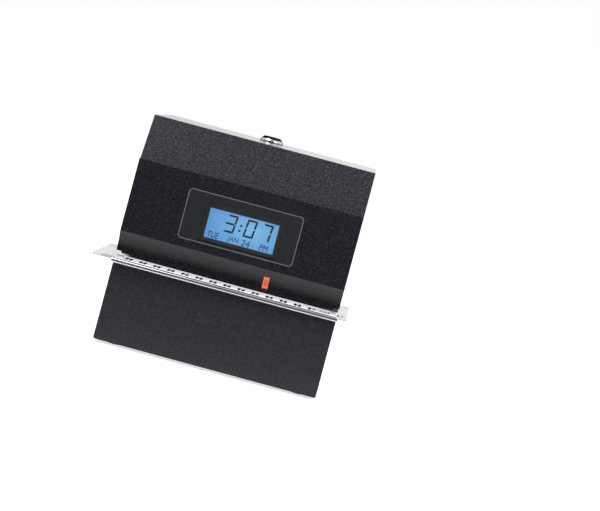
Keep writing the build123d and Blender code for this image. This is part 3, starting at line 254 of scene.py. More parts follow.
def work_in(tree, shader, pattern, colors=None, spread=(0.35, 0.65), roughness=None, depth_mm=None,
            strength=1.0):
    """Works a pattern into a surface: its colour, as two sRGB codes, its roughness and its relief."""
    if colors:
        ramp = add_node(tree, "ShaderNodeValToRGB", None, {"Fac": (pattern, "Fac")})
        set_ramp(ramp, list(zip(spread, colors)))
        tree.links.new(ramp.outputs["Color"], shader.inputs["Base Color"])
    if roughness:
        sheen = add_node(tree, "ShaderNodeMapRange", None, {
            "Value": (pattern, "Fac"), "From Min": 0.3, "From Max": 0.7,
            "To Min": roughness[0], "To Max": roughness[1],
        })
        tree.links.new(sheen.outputs["Result"], shader.inputs["Roughness"])
    if depth_mm:
        relief = add_node(tree, "ShaderNodeBump", None, {
            "Height": (pattern, "Fac"), "Distance": depth_mm * MM, "Strength": strength,
        })
        tree.links.new(relief.outputs["Normal"], shader.inputs["Normal"])


def dress(material, *names):
    """Gives CAD nodes one material."""
    for name in names:
        node = nodes[name]
        node.data.materials.clear()
        node.data.materials.append(material)


smooth_below = math.radians(32)
weld_distance = 0.002 * MM
flat_below = math.radians(0.5)
round_above = math.radians(25)
edge_segments = 2


def piece_from(bm, name, material, body):
    """Makes a bmesh a smooth-shaded piece that rides on a body."""
    mesh = bpy.data.meshes.new(name)
    bm.to_mesh(mesh)
    bm.free()
    mesh.materials.append(material)
    piece = bpy.data.objects.new(name, mesh)
    bpy.context.scene.collection.objects.link(piece)
    mesh.shade_smooth()
    mesh.set_sharp_from_angle(angle=smooth_below)
    even_shade = piece.modifiers.new("even_shade", "WEIGHTED_NORMAL")
    even_shade.keep_sharp = True
    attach(piece, body)
    return piece


def softened(node, name, material, edge_mm):
    """A copy of a CAD node with its sharp edges rounded, which stands for the node."""
    bm = bmesh.new()
    bm.from_mesh(nodes[node].data)
    bm.transform(nodes[node].matrix_world)
    bmesh.ops.remove_doubles(bm, verts=bm.verts, dist=weld_distance)
    bmesh.ops.dissolve_limit(
        bm, angle_limit=flat_below, verts=bm.verts, edges=bm.edges, use_dissolve_boundaries=False,
    )
    sharp = [e for e in bm.edges if len(e.link_faces) == 2 and e.calc_face_angle(0.0) > round_above]
    bmesh.ops.bevel(
        bm, geom=sharp, offset=edge_mm * MM, offset_type="OFFSET", segments=edge_segments, profile=0.5,
        affect="EDGES", clamp_overlap=True, material=-1,
    )
    piece = piece_from(bm, name, material, body_of_node[node])
    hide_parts(node)
    return piece


# Wrinkle enamel: ridges about 2.4 mm apart, drawn coarse so that they show, under a satin skin.  Where
# the steel looks up, a pale speckle is painted in: a painted highlight where the ridges catch the light
# from above.
ridge_pitch_mm = 2.4
speckle_mm = 1.35
wrinkle_enamel, tree, shader = new_material(
    "black wrinkle enamel", "#17181b", roughness=0.5,
    settings={"Specular IOR Level": 0.1, "Coat Weight": 1.0, "Coat Roughness": 0.18},
)
wrinkles = grain(tree, ridge_pitch_mm, detail=5.0)
enamel_ramp = add_node(tree, "ShaderNodeValToRGB", None, {"Fac": (wrinkles, "Fac")})
set_ramp(enamel_ramp, [(0.38, "#0c0d0f"), (0.66, "#1d1e22")])
speckle = grain(tree, speckle_mm, detail=3.0)
speckle_highlight_ramp = add_node(tree, "ShaderNodeValToRGB", None, {"Fac": (speckle, "Fac")})
set_ramp(speckle_highlight_ramp, [(0.42, "#101113"), (0.54, "#3a3c45"), (0.66, "#62646f")])
# Painted highlight: the more a face looks up, the more of the pale speckle it shows.
facing = add_node(tree, "ShaderNodeNewGeometry")
facing_axes = add_node(tree, "ShaderNodeSeparateXYZ", None, {"Vector": (facing, "Normal")})
painted_highlight_mask = add_node(tree, "ShaderNodeMapRange", None, {
    "Value": (facing_axes, "Z"), "From Min": -0.1, "From Max": 0.7, "To Min": 0.0, "To Max": 0.74,
})
enamel_with_painted_highlight = add_node(tree, "ShaderNodeMix", {"data_type": "RGBA"}, {0: (painted_highlight_mask, "Result")})
tree.links.new(enamel_ramp.outputs["Color"], enamel_with_painted_highlight.inputs[6])
tree.links.new(speckle_highlight_ramp.outputs["Color"], enamel_with_painted_highlight.inputs[7])
tree.links.new(enamel_with_painted_highlight.outputs[2], shader.inputs["Base Color"])
work_in(tree, shader, wrinkles, depth_mm=0.12, strength=0.8)
wrinkle_skin = add_node(tree, "ShaderNodeBump", None, {
    "Height": (wrinkles, "Fac"), "Distance": 0.1 * MM, "Strength": 0.7,
})
tree.links.new(wrinkle_skin.outputs["Normal"], shader.inputs["Coat Normal"])
cover_shell = softened("top_cover", "cover_shell", wrinkle_enamel, edge_mm=0.7)

# ======== display window ========
# Smoked acrylic panel, cut with rounded corners and set flush in the front.  A printed polyester sheet
# covers it: dark grey, with a thin pale border and an opening in front of the display.

# Cast acrylic is clear with a hard gloss.  A trace of haze takes the edge off its reflections.
smoked_acrylic, tree, shader = new_material(
    "smoked acrylic", "#d3d4d9", roughness=0.03,
    settings={"Transmission Weight": 1.0, "IOR": 1.36, "Specular IOR Level": 0.45},
)
fine_haze = grain(tree, size_mm=25.0, detail=2.0)
work_in(tree, shader, fine_haze, roughness=(0.02, 0.05))
dress(smoked_acrylic, "display_window")

# The sheet lies on the front face of the panel, which leans back.
window_low, window_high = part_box("display_window")
window_thickness = 2.0 * MM
window_lean = math.radians(5.80)
corner_radius = 3.8 * MM
corner_segments = 8
overlay_thickness = 0.1 * MM
overlay_lift = 0.01 * MM
border_width = 0.9 * MM
border_lift = 0.13 * MM
border_thickness = 0.05 * MM
face_low = window_low[2] + window_thickness * math.sin(window_lean)
window_size = (window_high[0] - window_low[0], (window_high[2] - face_low) / math.cos(window_lean))
face_middle = Vector((
    (window_low[0] + window_high[0]) / 2,
    window_low[1] + (window_high[2] - face_low) / 2 * math.tan(window_lean),
    (window_high[2] + face_low) / 2,
))


def window_plate(bm):
    """The window's outline, a flat rounded rectangle in XZ that faces the front; returns its face."""
    corners = bmesh.ops.create_grid(bm, x_segments=1, y_segments=1, size=0.5)["verts"]
    bmesh.ops.scale(bm, verts=corners, vec=(*window_size, 1))
    bmesh.ops.rotate(bm, verts=corners, cent=(0, 0, 0), matrix=Matrix.Rotation(math.pi / 2, 3, "X"))
    bmesh.ops.bevel(
        bm, geom=corners, offset=corner_radius, offset_type="OFFSET", segments=corner_segments,
        profile=0.5, affect="VERTICES", clamp_overlap=True, material=-1,
    )
    bm.faces.ensure_lookup_table()
    return bm.faces[0]


def thicken(bm, thickness):
    """Gives a sheet a thickness, towards its front, and closes it."""
    bm.normal_update()
    bmesh.ops.solidify(bm, geom=bm.faces[:], thickness=-thickness)
    bmesh.ops.recalc_face_normals(bm, faces=bm.faces)


def lay_on_window(bm, lift):
    """Leans a flat shape back and lays it on the front of the window, this far off it."""
    lean = Matrix.Rotation(-window_lean, 3, "X")
    bmesh.ops.rotate(bm, verts=bm.verts, cent=(0, 0, 0), matrix=lean)
    bmesh.ops.translate(bm, verts=bm.verts, vec=face_middle + lean @ Vector((0, -lift, 0)))


# Screen-printed polyester film: an even dark grey with a faint matt tooth.
opening_low = (-39.6 * MM, 128.3 * MM)
opening_high = (43.0 * MM, 169.2 * MM)
printed_polyester, tree, shader = new_material("printed polyester", "#28292d", roughness=0.3)
sheet_texture = grain(tree, size_mm=0.9, detail=4.0)
work_in(tree, shader, sheet_texture, colors=("#242529", "#2d2e33"), depth_mm=0.01)
bm = bmesh.new()
bm.faces.remove(window_plate(bm))
opening = [bm.verts.new((x, 0, (z - face_middle.z) / math.cos(window_lean))) for x, z in (
    opening_low, (opening_high[0], opening_low[1]), opening_high, (opening_low[0], opening_high[1]),
)]
for start, end in zip(opening, opening[1:] + opening[:1]):
    bm.edges.new((start, end))
bmesh.ops.triangle_fill(bm, edges=bm.edges[:], use_beauty=True, normal=(0, -1, 0))
thicken(bm, overlay_thickness)
lay_on_window(bm, overlay_lift)
window_overlay = piece_from(bm, "window_overlay", printed_polyester, "cover")

# The border's ink is flat, with the slight mottle of a screen print.
border_print, tree, shader = new_material("grey screen print", "#6f7075", roughness=0.45)
ink_mottle = grain(tree, size_mm=0.6, detail=3.0)
work_in(tree, shader, ink_mottle, colors=("#65666b", "#7a7b80"))
bm = bmesh.new()
plate = window_plate(bm)
bm.normal_update()
bmesh.ops.inset_region(
    bm, faces=[plate], thickness=border_width, use_boundary=True, use_even_offset=True,
)
bmesh.ops.delete(bm, geom=[plate], context="FACES")
thicken(bm, border_thickness)
lay_on_window(bm, border_lift)
window_border = piece_from(bm, "window_border", border_print, "cover")

# ======== clock display ========
# Liquid crystal glass with a blue light behind it.  The digits are dark segments that the glass
# switches on: a large time over a small row for the day and the date.
display_low, display_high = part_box("lcd_panel")
display_face = display_low[1]
display_middle = ((display_low[0] + display_high[0]) / 2, (display_low[2] + display_high[2]) / 2)

# Backlit glass glows an even blue, palest a little right of its middle, where its lamp stands.
glow_offset = (9 * MM, 3 * MM)
glow_reach = (44 * MM, 30 * MM, 26 * MM)
glow_strength = 1.35
backlit_glass, tree, shader = new_material("backlit liquid crystal glass", "#3f6fb0", roughness=0.15)
glow_place = add_node(tree, "ShaderNodeTexCoord")
glow_fit = add_node(tree, "ShaderNodeMapping", {"vector_type": "TEXTURE"}, {
    "Vector": (glow_place, "Object"),
    "Location": (display_middle[0] + glow_offset[0], display_face, display_middle[1] + glow_offset[1]),
    "Scale": glow_reach,
})
glow_shape = add_node(
    tree, "ShaderNodeTexGradient", {"gradient_type": "SPHERICAL"}, {"Vector": (glow_fit, "Vector")},
)
glow_ramp = add_node(tree, "ShaderNodeValToRGB", None, {"Fac": (glow_shape, "Fac")})
set_ramp(glow_ramp, [(0.0, "#5f9bca"), (0.45, "#6faad5"), (1.0, "#86bee0")])
tree.links.new(glow_ramp.outputs["Color"], shader.inputs["Emission Color"])
shader.inputs["Emission Strength"].default_value = glow_strength
dress(backlit_glass, "lcd_panel")

# Switched crystal lets no light through: a dark blue-grey with a slight mottle.
dark_crystal, tree, shader = new_material("switched liquid crystal", "#26364e", roughness=0.3)
crystal_mottle = grain(tree, size_mm=0.8, detail=2.0)
work_in(tree, shader, crystal_mottle, colors=("#203048", "#2c3e58"))

digit_height = 18.6 * MM
digit_width = 10.6 * MM
digit_bottom = 142.4 * MM
digit_slant = math.tan(math.radians(6.0))
bar_width = 1.9 * MM
bar_gap = 0.08 * MM
crystal_lift = 0.1 * MM
crystal_thickness = 0.05 * MM
bars_of = {"3": "abcdg", "0": "abcdef", "7": "abc"}
digit_places = {"3": -17.7 * MM, "0": 2.9 * MM, "7": 19.6 * MM}
dot_size = 2.2 * MM
dot_levels = (0.2, 0.48)
colon_x = -2.9 * MM

# Each bar of a digit is mitred where it meets its neighbours; half is the middle height.
half = digit_height / 2
inner = digit_width - bar_width
bar_outlines = {
    "a": ((bar_gap, digit_height), (digit_width - bar_gap, digit_height),
          (inner - bar_gap, digit_height - bar_width), (bar_width + bar_gap, digit_height - bar_width)),
    "b": ((digit_width, digit_height - bar_gap), (digit_width, half + bar_gap),
          (inner, half + bar_width / 2 + bar_gap), (inner, digit_height - bar_width - bar_gap)),
    "c": ((digit_width, half - bar_gap), (digit_width, bar_gap), (inner, bar_width + bar_gap),
          (inner, half - bar_width / 2 - bar_gap)),
    "d": ((bar_gap, 0), (digit_width - bar_gap, 0), (inner - bar_gap, bar_width),
          (bar_width + bar_gap, bar_width)),
    "e": ((0, half - bar_gap), (0, bar_gap), (bar_width, bar_width + bar_gap),
          (bar_width, half - bar_width / 2 - bar_gap)),
    "f": ((0, digit_height - bar_gap), (0, half + bar_gap), (bar_width, half + bar_width / 2 + bar_gap),
          (bar_width, digit_height - bar_width - bar_gap)),
    "g": ((bar_gap, half + bar_width / 2), (inner - bar_gap, half + bar_width / 2),
          (inner - bar_gap, half - bar_width / 2), (bar_gap, half - bar_width / 2)),
}
bm = bmesh.new()
for digit, left in digit_places.items():
    for bar in bars_of[digit]:
        bm.faces.new([bm.verts.new((left + x, 0, digit_bottom + z)) for x, z in bar_outlines[bar]])
for level in dot_levels:
    dot_z = digit_bottom + level * digit_height
    bm.faces.new([bm.verts.new((colon_x + x * dot_size, 0, dot_z + z * dot_size)) for x, z in (
        (0, 0), (1, 0), (1, 1), (0, 1),
    )])
for vert in bm.verts:
    vert.co.x += (vert.co.z - digit_bottom) * digit_slant
bm.normal_update()
for face in bm.faces:
    if face.normal.y > 0:
        face.normal_flip()
thicken(bm, crystal_thickness)
bmesh.ops.translate(bm, verts=bm.verts, vec=(0, display_face - crystal_lift, 0))
clock_digits = piece_from(bm, "clock_digits", dark_crystal, "chassis")

# The row under the time: each word with its left and right ends, in millimetres.  Its letters start
# about one unit high, and the doubled points of their outlines lie closer than outline_weld.
row_bottom = 132.9 * MM
row_height = 6.5 * MM
row_words = (("TUE", -32.5, -20.8), ("JAN", -11.1, 0.1), ("24", 3.7, 12.5), ("PM", 22.8, 31.4))
outline_weld = 1e-4


def row_word(text, left, right):
    """A word of the row in plain capitals, which lean as the digits do, between its two ends."""
    name = "clock_row_" + text.lower()
    curve = bpy.data.curves.new(name, "FONT")
    curve.body = text
    text_object = bpy.data.objects.new(name + "_outline", curve)
    bpy.context.scene.collection.objects.link(text_object)
    bpy.context.view_layer.update()
    shape = bpy.data.meshes.new_from_object(text_object)
    bpy.data.objects.remove(text_object)
    bpy.data.curves.remove(curve)
    bm = bmesh.new()
    bm.from_mesh(shape)
    bpy.data.meshes.remove(shape)
    bmesh.ops.remove_doubles(bm, verts=bm.verts, dist=outline_weld)
    xs = [v.co.x for v in bm.verts]
    ys = [v.co.y for v in bm.verts]
    for vert in bm.verts:
        across = (vert.co.x - min(xs)) / (max(xs) - min(xs))
        up = (vert.co.y - min(ys)) / (max(ys) - min(ys))
        slant = (up - 0.5) * row_height * digit_slant
        vert.co = Vector((left + across * (right - left) + slant, 0, row_bottom + up * row_height))
    thicken(bm, crystal_thickness)
    bmesh.ops.translate(bm, verts=bm.verts, vec=(0, display_face - crystal_lift, 0))
    return piece_from(bm, name, dark_crystal, "chassis")


for text, left, right in row_words:
    row_piece = row_word(text, left * MM, right * MM)

# The glass sits in a moulded frame with a fine matt skin, coloured a lighter dark grey as painted
# light, for the light that comes in through the window.
bezel_abs_painted_lit, tree, shader = new_material("moulded ABS painted lit dark grey", "#505157", roughness=0.5)
bezel_skin = grain(tree, size_mm=0.7, detail=4.0)
work_in(tree, shader, bezel_skin, colors=("#4b4c52", "#56575d"), depth_mm=0.03)
dress(bezel_abs_painted_lit, "lcd_bezel")

# ======== print indicator ========
# Moulded coral lens, curved like the fold that it sits in, with a paler rim where the light of its
# lamp gathers.
lamp_strength = 0.32
coral_acrylic, tree, shader = new_material(
    "coral acrylic lens", "#c4432f", roughness=0.18, settings={"Coat Weight": 0.3},
)
lens_low, lens_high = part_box("indicator_lens")
lens_place = add_node(tree, "ShaderNodeTexCoord")
lens_fit = add_node(tree, "ShaderNodeMapping", {"vector_type": "TEXTURE"}, {
    "Vector": (lens_place, "Object"),
    "Location": ((lens_low[0] + lens_high[0]) / 2, 0, (lens_low[2] + lens_high[2]) / 2),
    "Scale": ((lens_high[0] - lens_low[0]) / 2, 1.0, (lens_high[2] - lens_low[2]) / 2),
})
lens_axes = add_node(tree, "ShaderNodeSeparateXYZ", None, {"Vector": (lens_fit, "Vector")})
lens_x = add_node(tree, "ShaderNodeMath", {"operation": "ABSOLUTE"}, {0: (lens_axes, "X")})
lens_z = add_node(tree, "ShaderNodeMath", {"operation": "ABSOLUTE"}, {0: (lens_axes, "Z")})
lens_edge = add_node(tree, "ShaderNodeMath", {"operation": "MAXIMUM"}, {0: (lens_x, 0), 1: (lens_z, 0)})
lens_ramp = add_node(tree, "ShaderNodeValToRGB", None, {"Fac": (lens_edge, 0)})
set_ramp(lens_ramp, [
    (0.0, "#d2523e"), (0.45, "#cf513d"), (0.68, "#e38a7b"), (0.84, "#9c3227"), (1.0, "#4a1513"),
])
tree.links.new(lens_ramp.outputs["Color"], shader.inputs["Base Color"])
tree.links.new(lens_ramp.outputs["Color"], shader.inputs["Emission Color"])
shader.inputs["Emission Strength"].default_value = lamp_strength
dress(coral_acrylic, "indicator_lens")

# ======== lock ========
# Turned brass collar under polished chrome, with a plug that takes a flat key.  It stands on the
# deck and clamps it with a nut.  Round its bright flat top, its rounded rim is painted dark: a painted
# reflection.

# Polished chrome mirrors the room almost sharply.  Bright and dark bands by height, from a darker foot
# to a dark rim, are painted into its colour as well: painted reflections.
collar_bottom = 239.0 * MM
collar_top = 245.0 * MM
rim_normal = 0.97
flat_normal = 0.995
polished_chrome, tree, shader = new_material(
    "polished chrome", "#dfe0e3", metallic=1.0, roughness=0.1,
    settings={"Specular Tint": linear("#1c1d20")},
)
polish = grain(tree, size_mm=6.0, detail=2.0, stretch=(1, 1, 3))
work_in(tree, shader, polish, roughness=(0.08, 0.14))
rim_place = add_node(tree, "ShaderNodeTexCoord")
rim_axes = add_node(tree, "ShaderNodeSeparateXYZ", None, {"Vector": (rim_place, "Object")})
reflection_band_height = add_node(tree, "ShaderNodeMapRange", None, {
    "Value": (rim_axes, "Z"), "From Min": collar_bottom, "From Max": collar_top,
    "To Min": 0.0, "To Max": 1.0,
})
# Painted reflections: the collar's colour runs from a darker foot through a bright band to a dark rim.
painted_reflection_ramp = add_node(tree, "ShaderNodeValToRGB", None, {"Fac": (reflection_band_height, "Result")})
set_ramp(painted_reflection_ramp, [
    (0.0, "#55565b"), (0.1, "#dfe0e3"), (0.5, "#e6e7ea"), (0.64, "#34353a"), (1.0, "#232428"),
])
top_normal = add_node(tree, "ShaderNodeNewGeometry")
top_axes = add_node(tree, "ShaderNodeSeparateXYZ", None, {"Vector": (top_normal, "Normal")})
flat_top = add_node(tree, "ShaderNodeMapRange", None, {
    "Value": (top_axes, "Z"), "From Min": rim_normal, "From Max": flat_normal,
    "To Min": 0.0, "To Max": 1.0,
})
lock_color_with_painted_reflections = add_node(tree, "ShaderNodeMix", {"data_type": "RGBA"}, {
    0: (flat_top, "Result"), 7: linear("#d2d3d7"),
})
tree.links.new(painted_reflection_ramp.outputs["Color"], lock_color_with_painted_reflections.inputs[6])
tree.links.new(lock_color_with_painted_reflections.outputs[2], shader.inputs["Base Color"])
lock_collar = softened("lock_barrel", "lock_collar", polished_chrome, edge_mm=0.3)
lock_core = softened("lock_plug", "lock_core", polished_chrome, edge_mm=0.15)

# ======== base ========
# Folded steel pan in smooth satin enamel.  The front apron leans in at its top and its lower corners
# are rounded.  The flat panel that closes its back is painted with it.

# Sprayed enamel has a faint orange peel, which breaks its satin sheen and shifts its black a little.
satin_enamel, tree, shader = new_material("black satin enamel", "#1d1e21", roughness=0.42)
orange_peel = grain(tree, size_mm=2.2, detail=4.0)
work_in(tree, shader, orange_peel, colors=("#222227", "#36353b"), spread=(0.35, 0.7),
        roughness=(0.38, 0.5), depth_mm=0.05, strength=0.6)
base_pan = softened("base_housing", "base_pan", satin_enamel, edge_mm=0.8)
back_panel = softened("rear_panel", "back_panel", satin_enamel, edge_mm=0.4)

# ======== feet ========
# Moulded rubber pads, screwed up through the pan.  The platen that the card is struck against and the
# toothed belt of the carriage are of the same rubber: matt black, with a grey bloom in its grain.
moulded_rubber, tree, shader = new_material("moulded rubber", "#1a1a1b", roughness=0.75)
rubber_bloom = grain(tree, size_mm=1.5, detail=5.0)
work_in(tree, shader, rubber_bloom, colors=("#151516", "#272728"), depth_mm=0.1)
feet = softened("rubber_feet", "feet", moulded_rubber, edge_mm=0.5)
dress(moulded_rubber, "platen_bar", "drive_belt")

# ======== throat ========
# Zinc-plated tray under a white gloss sheet, edged with a polished stainless nosing that runs a
# little past the body.  The clear guide lies on the sheet.

# Zinc plate shows a faint spangle over fine marks from the rolls, which run across the sheet.
spangle_size = 4.0 * MM
zinc_steel, tree, shader = new_material(
    "zinc-plated sheet steel", "#9c9da0", metallic=1.0, roughness=0.38,
)
spangle_place = add_node(tree, "ShaderNodeTexCoord")
spangle = add_node(tree, "ShaderNodeTexVoronoi", None, {
    "Vector": (spangle_place, "Object"), "Scale": 1.0 / spangle_size,
})
spangle_ramp = add_node(tree, "ShaderNodeValToRGB", None, {"Fac": (spangle, "Distance")})
set_ramp(spangle_ramp, [(0.0, "#8e8f92"), (1.0, "#b4b5b8")])
tree.links.new(spangle_ramp.outputs["Color"], shader.inputs["Base Color"])
roll_marks = grain(tree, size_mm=0.8, detail=4.0, stretch=(0.05, 1, 1))
work_in(tree, shader, roll_marks, roughness=(0.3, 0.48))
dress(zinc_steel, "throat_tray", "throat_ceiling", "frame_left", "frame_right", "motor_wall",
      "rear_tie", "lock_bar", "display_bracket", "carriage_rail")

# Coated white sheet: a soft gloss, dulled in places by the cards that slide over it.
gloss_white, tree, shader = new_material("white gloss sheet", "#e9e9ea", roughness=0.25)
sheet_wear = grain(tree, size_mm=9.0, detail=4.0)
work_in(tree, shader, sheet_wear, colors=("#dfe0e1", "#f1f1f2"))
dress(gloss_white, "backing_strip")

# Polished stainless is bright, and its polishing lines along the nosing smear what it mirrors.
polished_steel, tree, shader = new_material(
    "polished stainless", "#ecedef", metallic=1.0, roughness=0.12,
)
rail_marks = grain(tree, size_mm=1.0, detail=5.0, stretch=(0.03, 1, 1))
work_in(tree, shader, rail_marks, roughness=(0.08, 0.2))
rail_nosing = softened("front_rail", "rail_nosing", polished_steel, edge_mm=0.3)

# Clear acrylic, scuffed by use, so that it is cloudy in some places and clearer in others.
clearest = 0.4
cloudiest = 0.6
clear_sheet, tree, shader = new_material(
    "clear acrylic sheet", "#a6a8ab", roughness=0.12, settings={"IOR": 1.3},
)
scuffs = grain(tree, size_mm=9.0, detail=5.0)
scuffed = add_node(tree, "ShaderNodeMapRange", None, {
    "Value": (scuffs, "Fac"), "From Min": 0.35, "From Max": 0.65,
    "To Min": clearest, "To Max": cloudiest,
})
tree.links.new(scuffed.outputs["Result"], shader.inputs["Alpha"])
clear_guide = softened("paper_guide", "clear_guide", clear_sheet, edge_mm=0.2)

# The guide's top is screen-printed: a white band over the body, and an H-shaped mark at each step of
# the scale, a little askew.  One step has pale lines in its place.  The band stops short at its left
# front corner, and all of the print is open at the slots of the clamp screws.
guide_low, guide_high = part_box("paper_guide")
screw_low, screw_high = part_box("guide_screw_left")
slot_y = (screw_low[1] + screw_high[1]) / 2
slot_half = 2.3 * MM
left_slot_end = -104.1 * MM
right_slot_start = 92.1 * MM
band_left = -117.0 * MM
band_right = 117.6 * MM
band_front = guide_low[1] + 0.6 * MM
band_back = -48.5 * MM
band_slack = 2.6 * MM
mark_pitch = 15.0 * MM
mark_first = -104.3 * MM
mark_count = 16
pale_step = 14
mark_front = guide_low[1] + 6.8 * MM
mark_length = 16.0 * MM
mark_half = 2.35 * MM
mark_bar = 2.8 * MM
mark_bridge = 5.0 * MM
pale_count = 5
pale_pitch = 3.0 * MM
pale_width = 1.0 * MM
pale_before = 3.0 * MM
pale_after = 4.0 * MM
print_thickness = 0.02 * MM
print_skew = -0.03
cut_tolerance = 1e-7


def printed_bar(bm, x_low, x_high, y_low, y_high):
    """A rectangle printed over the band, which starts behind a slot where it would lie on it."""
    x = (x_low + x_high) / 2
    y_low += print_skew * x
    y_high += print_skew * x
    if x_low < left_slot_end or x_high > right_slot_start:
        y_low = max(y_low, slot_y + slot_half)
    bar = bmesh.ops.create_cube(bm, size=1.0)["verts"]
    bmesh.ops.scale(bm, verts=bar, vec=(x_high - x_low, y_high - y_low, print_thickness))
    bmesh.ops.translate(bm, verts=bar, vec=(
        x, (y_low + y_high) / 2, guide_high[2] + print_thickness * 1.5,
    ))


def cut_all(bm, place, normal):
    """Cuts every face of a mesh along a plane."""
    bmesh.ops.bisect_plane(
        bm, geom=bm.verts[:] + bm.edges[:] + bm.faces[:], dist=cut_tolerance,
        plane_co=place, plane_no=normal,
    )


# White ink is opaque.  It is given a glow, painted light, so that it stays bright in the shade of the
# head.
painted_light_glow = 0.68
white_ink, tree, shader = new_material("white screen print", "#f2f2f3", roughness=0.5)
white_mottle = grain(tree, size_mm=3.0, detail=4.0)
work_in(tree, shader, white_mottle, colors=("#e4e5e8", "#f7f7f8"))
shader.inputs["Emission Color"].default_value = linear("#eef0f6")
shader.inputs["Emission Strength"].default_value = painted_light_glow
bm = bmesh.new()
band = bmesh.ops.create_grid(bm, x_segments=1, y_segments=1, size=0.5)["verts"]
bmesh.ops.scale(bm, verts=band, vec=(band_right - band_left, band_back - band_front, 1))
bmesh.ops.translate(bm, verts=band, vec=(
    (band_left + band_right) / 2, (band_front + band_back) / 2, guide_high[2],
))
for corner in band:
    if corner.co.x < 0 and corner.co.y < (band_front + band_back) / 2:
        corner.co.y += band_slack
for x in (left_slot_end, right_slot_start):
    cut_all(bm, (x, 0, 0), (1, 0, 0))
for y in (slot_y - slot_half, slot_y + slot_half):
    cut_all(bm, (0, y, 0), (0, 1, 0))
over_slots = []
for face in bm.faces:
    middle = face.calc_center_median()
    if abs(middle.y - slot_y) < slot_half and not left_slot_end < middle.x < right_slot_start:
        over_slots.append(face)
bmesh.ops.delete(bm, geom=over_slots, context="FACES")
raised = bmesh.ops.extrude_face_region(bm, geom=bm.faces[:], use_keep_orig=True)["geom"]
bmesh.ops.translate(
    bm, verts=[v for v in raised if isinstance(v, bmesh.types.BMVert)], vec=(0, 0, print_thickness),
)
bmesh.ops.recalc_face_normals(bm, faces=bm.faces)
guide_band = piece_from(bm, "guide_band", white_ink, "guide")

# Black ink is dense and flat, with a fine unevenness from the mesh of the screen.
guide_ink, tree, shader = new_material("black screen print", "#1d1d1f", roughness=0.5)
ink_grain = grain(tree, size_mm=0.5, detail=3.0)
work_in(tree, shader, ink_grain, colors=("#161618", "#29292c"))
bm = bmesh.new()
for step in range(mark_count):
    if step == pale_step:
        continue
    x = mark_first + step * mark_pitch
    for side in (-1, 1):
        printed_bar(bm, x + side * mark_half - mark_bar / 2, x + side * mark_half + mark_bar / 2,
                    mark_front, mark_front + mark_length)
    printed_bar(bm, x - mark_half + mark_bar / 2, x + mark_half - mark_bar / 2,
                mark_front + (mark_length - mark_bridge) / 2,
                mark_front + (mark_length + mark_bridge) / 2)
guide_marks = piece_from(bm, "guide_marks", guide_ink, "guide")

# The pale lines are printed thin, so the white under them greys them unevenly.
pale_ink, tree, shader = new_material("pale grey screen print", "#cfd1d5", roughness=0.5)
pale_mottle = grain(tree, size_mm=0.8, detail=3.0)
work_in(tree, shader, pale_mottle, colors=("#c2c4c8", "#d9dbde"))
bm = bmesh.new()
pale_x = mark_first + pale_step * mark_pitch
for line in range(pale_count):
    x = pale_x + (line - pale_count // 2) * pale_pitch
    printed_bar(bm, x - pale_width / 2, x + pale_width / 2,
                mark_front - pale_before, mark_front + mark_length + pale_after)
pale_lines = piece_from(bm, "pale_lines", pale_ink, "guide")

# ======== screws, pins and shafts ========
# Turned steel under bright zinc, which lies so thin that the fine rings of the turning show through
# its sheen.  The folded card stop is plated in the same bath.
bright_zinc, tree, shader = new_material("bright zinc plate", "#a9aaad", metallic=1.0, roughness=0.3)
turning = grain(tree, size_mm=0.7, detail=3.0)
work_in(tree, shader, turning, roughness=(0.22, 0.4), depth_mm=0.02)
dress(bright_zinc, "lock_nut", "lock_cam", "machine_screws", "pivot_pins", "guide_shaft", "motor_shaft",
      "card_stop")

# The two guide screws have a matt zinc-flake coat, nearly white.
flake_coat, tree, shader = new_material("zinc-flake coat", "#dcdde0", metallic=0.15, roughness=0.5)
flakes = grain(tree, size_mm=0.5, detail=4.0)
work_in(tree, shader, flakes, colors=("#cfd0d4", "#e6e7e9"), depth_mm=0.02)
dress(flake_coat, "guide_screw_left", "guide_screw_right")

# ======== black mouldings ========
# Injection-moulded ABS, clipped or screwed to the frame.  The spark-eroded mould gives it a fine dull
# skin.  The parts on the main board, moulded in black resin, look the same.
black_abs, tree, shader = new_material("black moulded ABS", "#1b1b1d", roughness=0.55)
spark_skin = grain(tree, size_mm=0.7, detail=5.0)
work_in(tree, shader, spark_skin, colors=("#161618", "#242427"), depth_mm=0.05)
dress(black_abs, "window_retainer", "battery_clip", "cartridge_bracket", "button_switches",
      "power_inlet", "trigger_bracket", "cartridge_case", "cartridge_lid", "ribbon_knob",
      "board_components")

# ======== boards ========
# Glass-epoxy circuit boards under green solder mask, which is glossy, with the copper tracks showing
# through it as paler bands.
track_length = 9 * MM
track_pitch = 2.4 * MM
track_width = 0.35 * MM
solder_mask, tree, shader = new_material("green solder mask", "#1b5a33", roughness=0.35)
track_place = add_node(tree, "ShaderNodeTexCoord")
tracks = add_node(tree, "ShaderNodeTexBrick", None, {
    "Vector": (track_place, "Object"), "Scale": 1.0, "Brick Width": track_length,
    "Row Height": track_pitch, "Mortar Size": track_width, "Color1": linear("#1a5630"),
    "Color2": linear("#1d6136"), "Mortar": linear("#3b8a55"),
})
tree.links.new(tracks.outputs["Color"], shader.inputs["Base Color"])
dress(solder_mask, "display_board", "main_board")

# ======== mechanism ========
# Natural acetal for the carriage and the pulleys, sintered bronze for the bush, cast aluminium for
# the print head, and plated steel cans for the motors.  The ribbon, the flat cable, the cells and the
# caps of the setting buttons come with it.

# Acetal is milky white, with faint flow marks from its mould.
natural_acetal, tree, shader = new_material("natural acetal", "#dcdad2", roughness=0.4)
acetal_flow = grain(tree, size_mm=5.0, detail=3.0)
work_in(tree, shader, acetal_flow, colors=("#d2d0c7", "#e3e1da"))
dress(natural_acetal, "carriage", "drive_pulley", "idler_pulley", "trigger_lever")

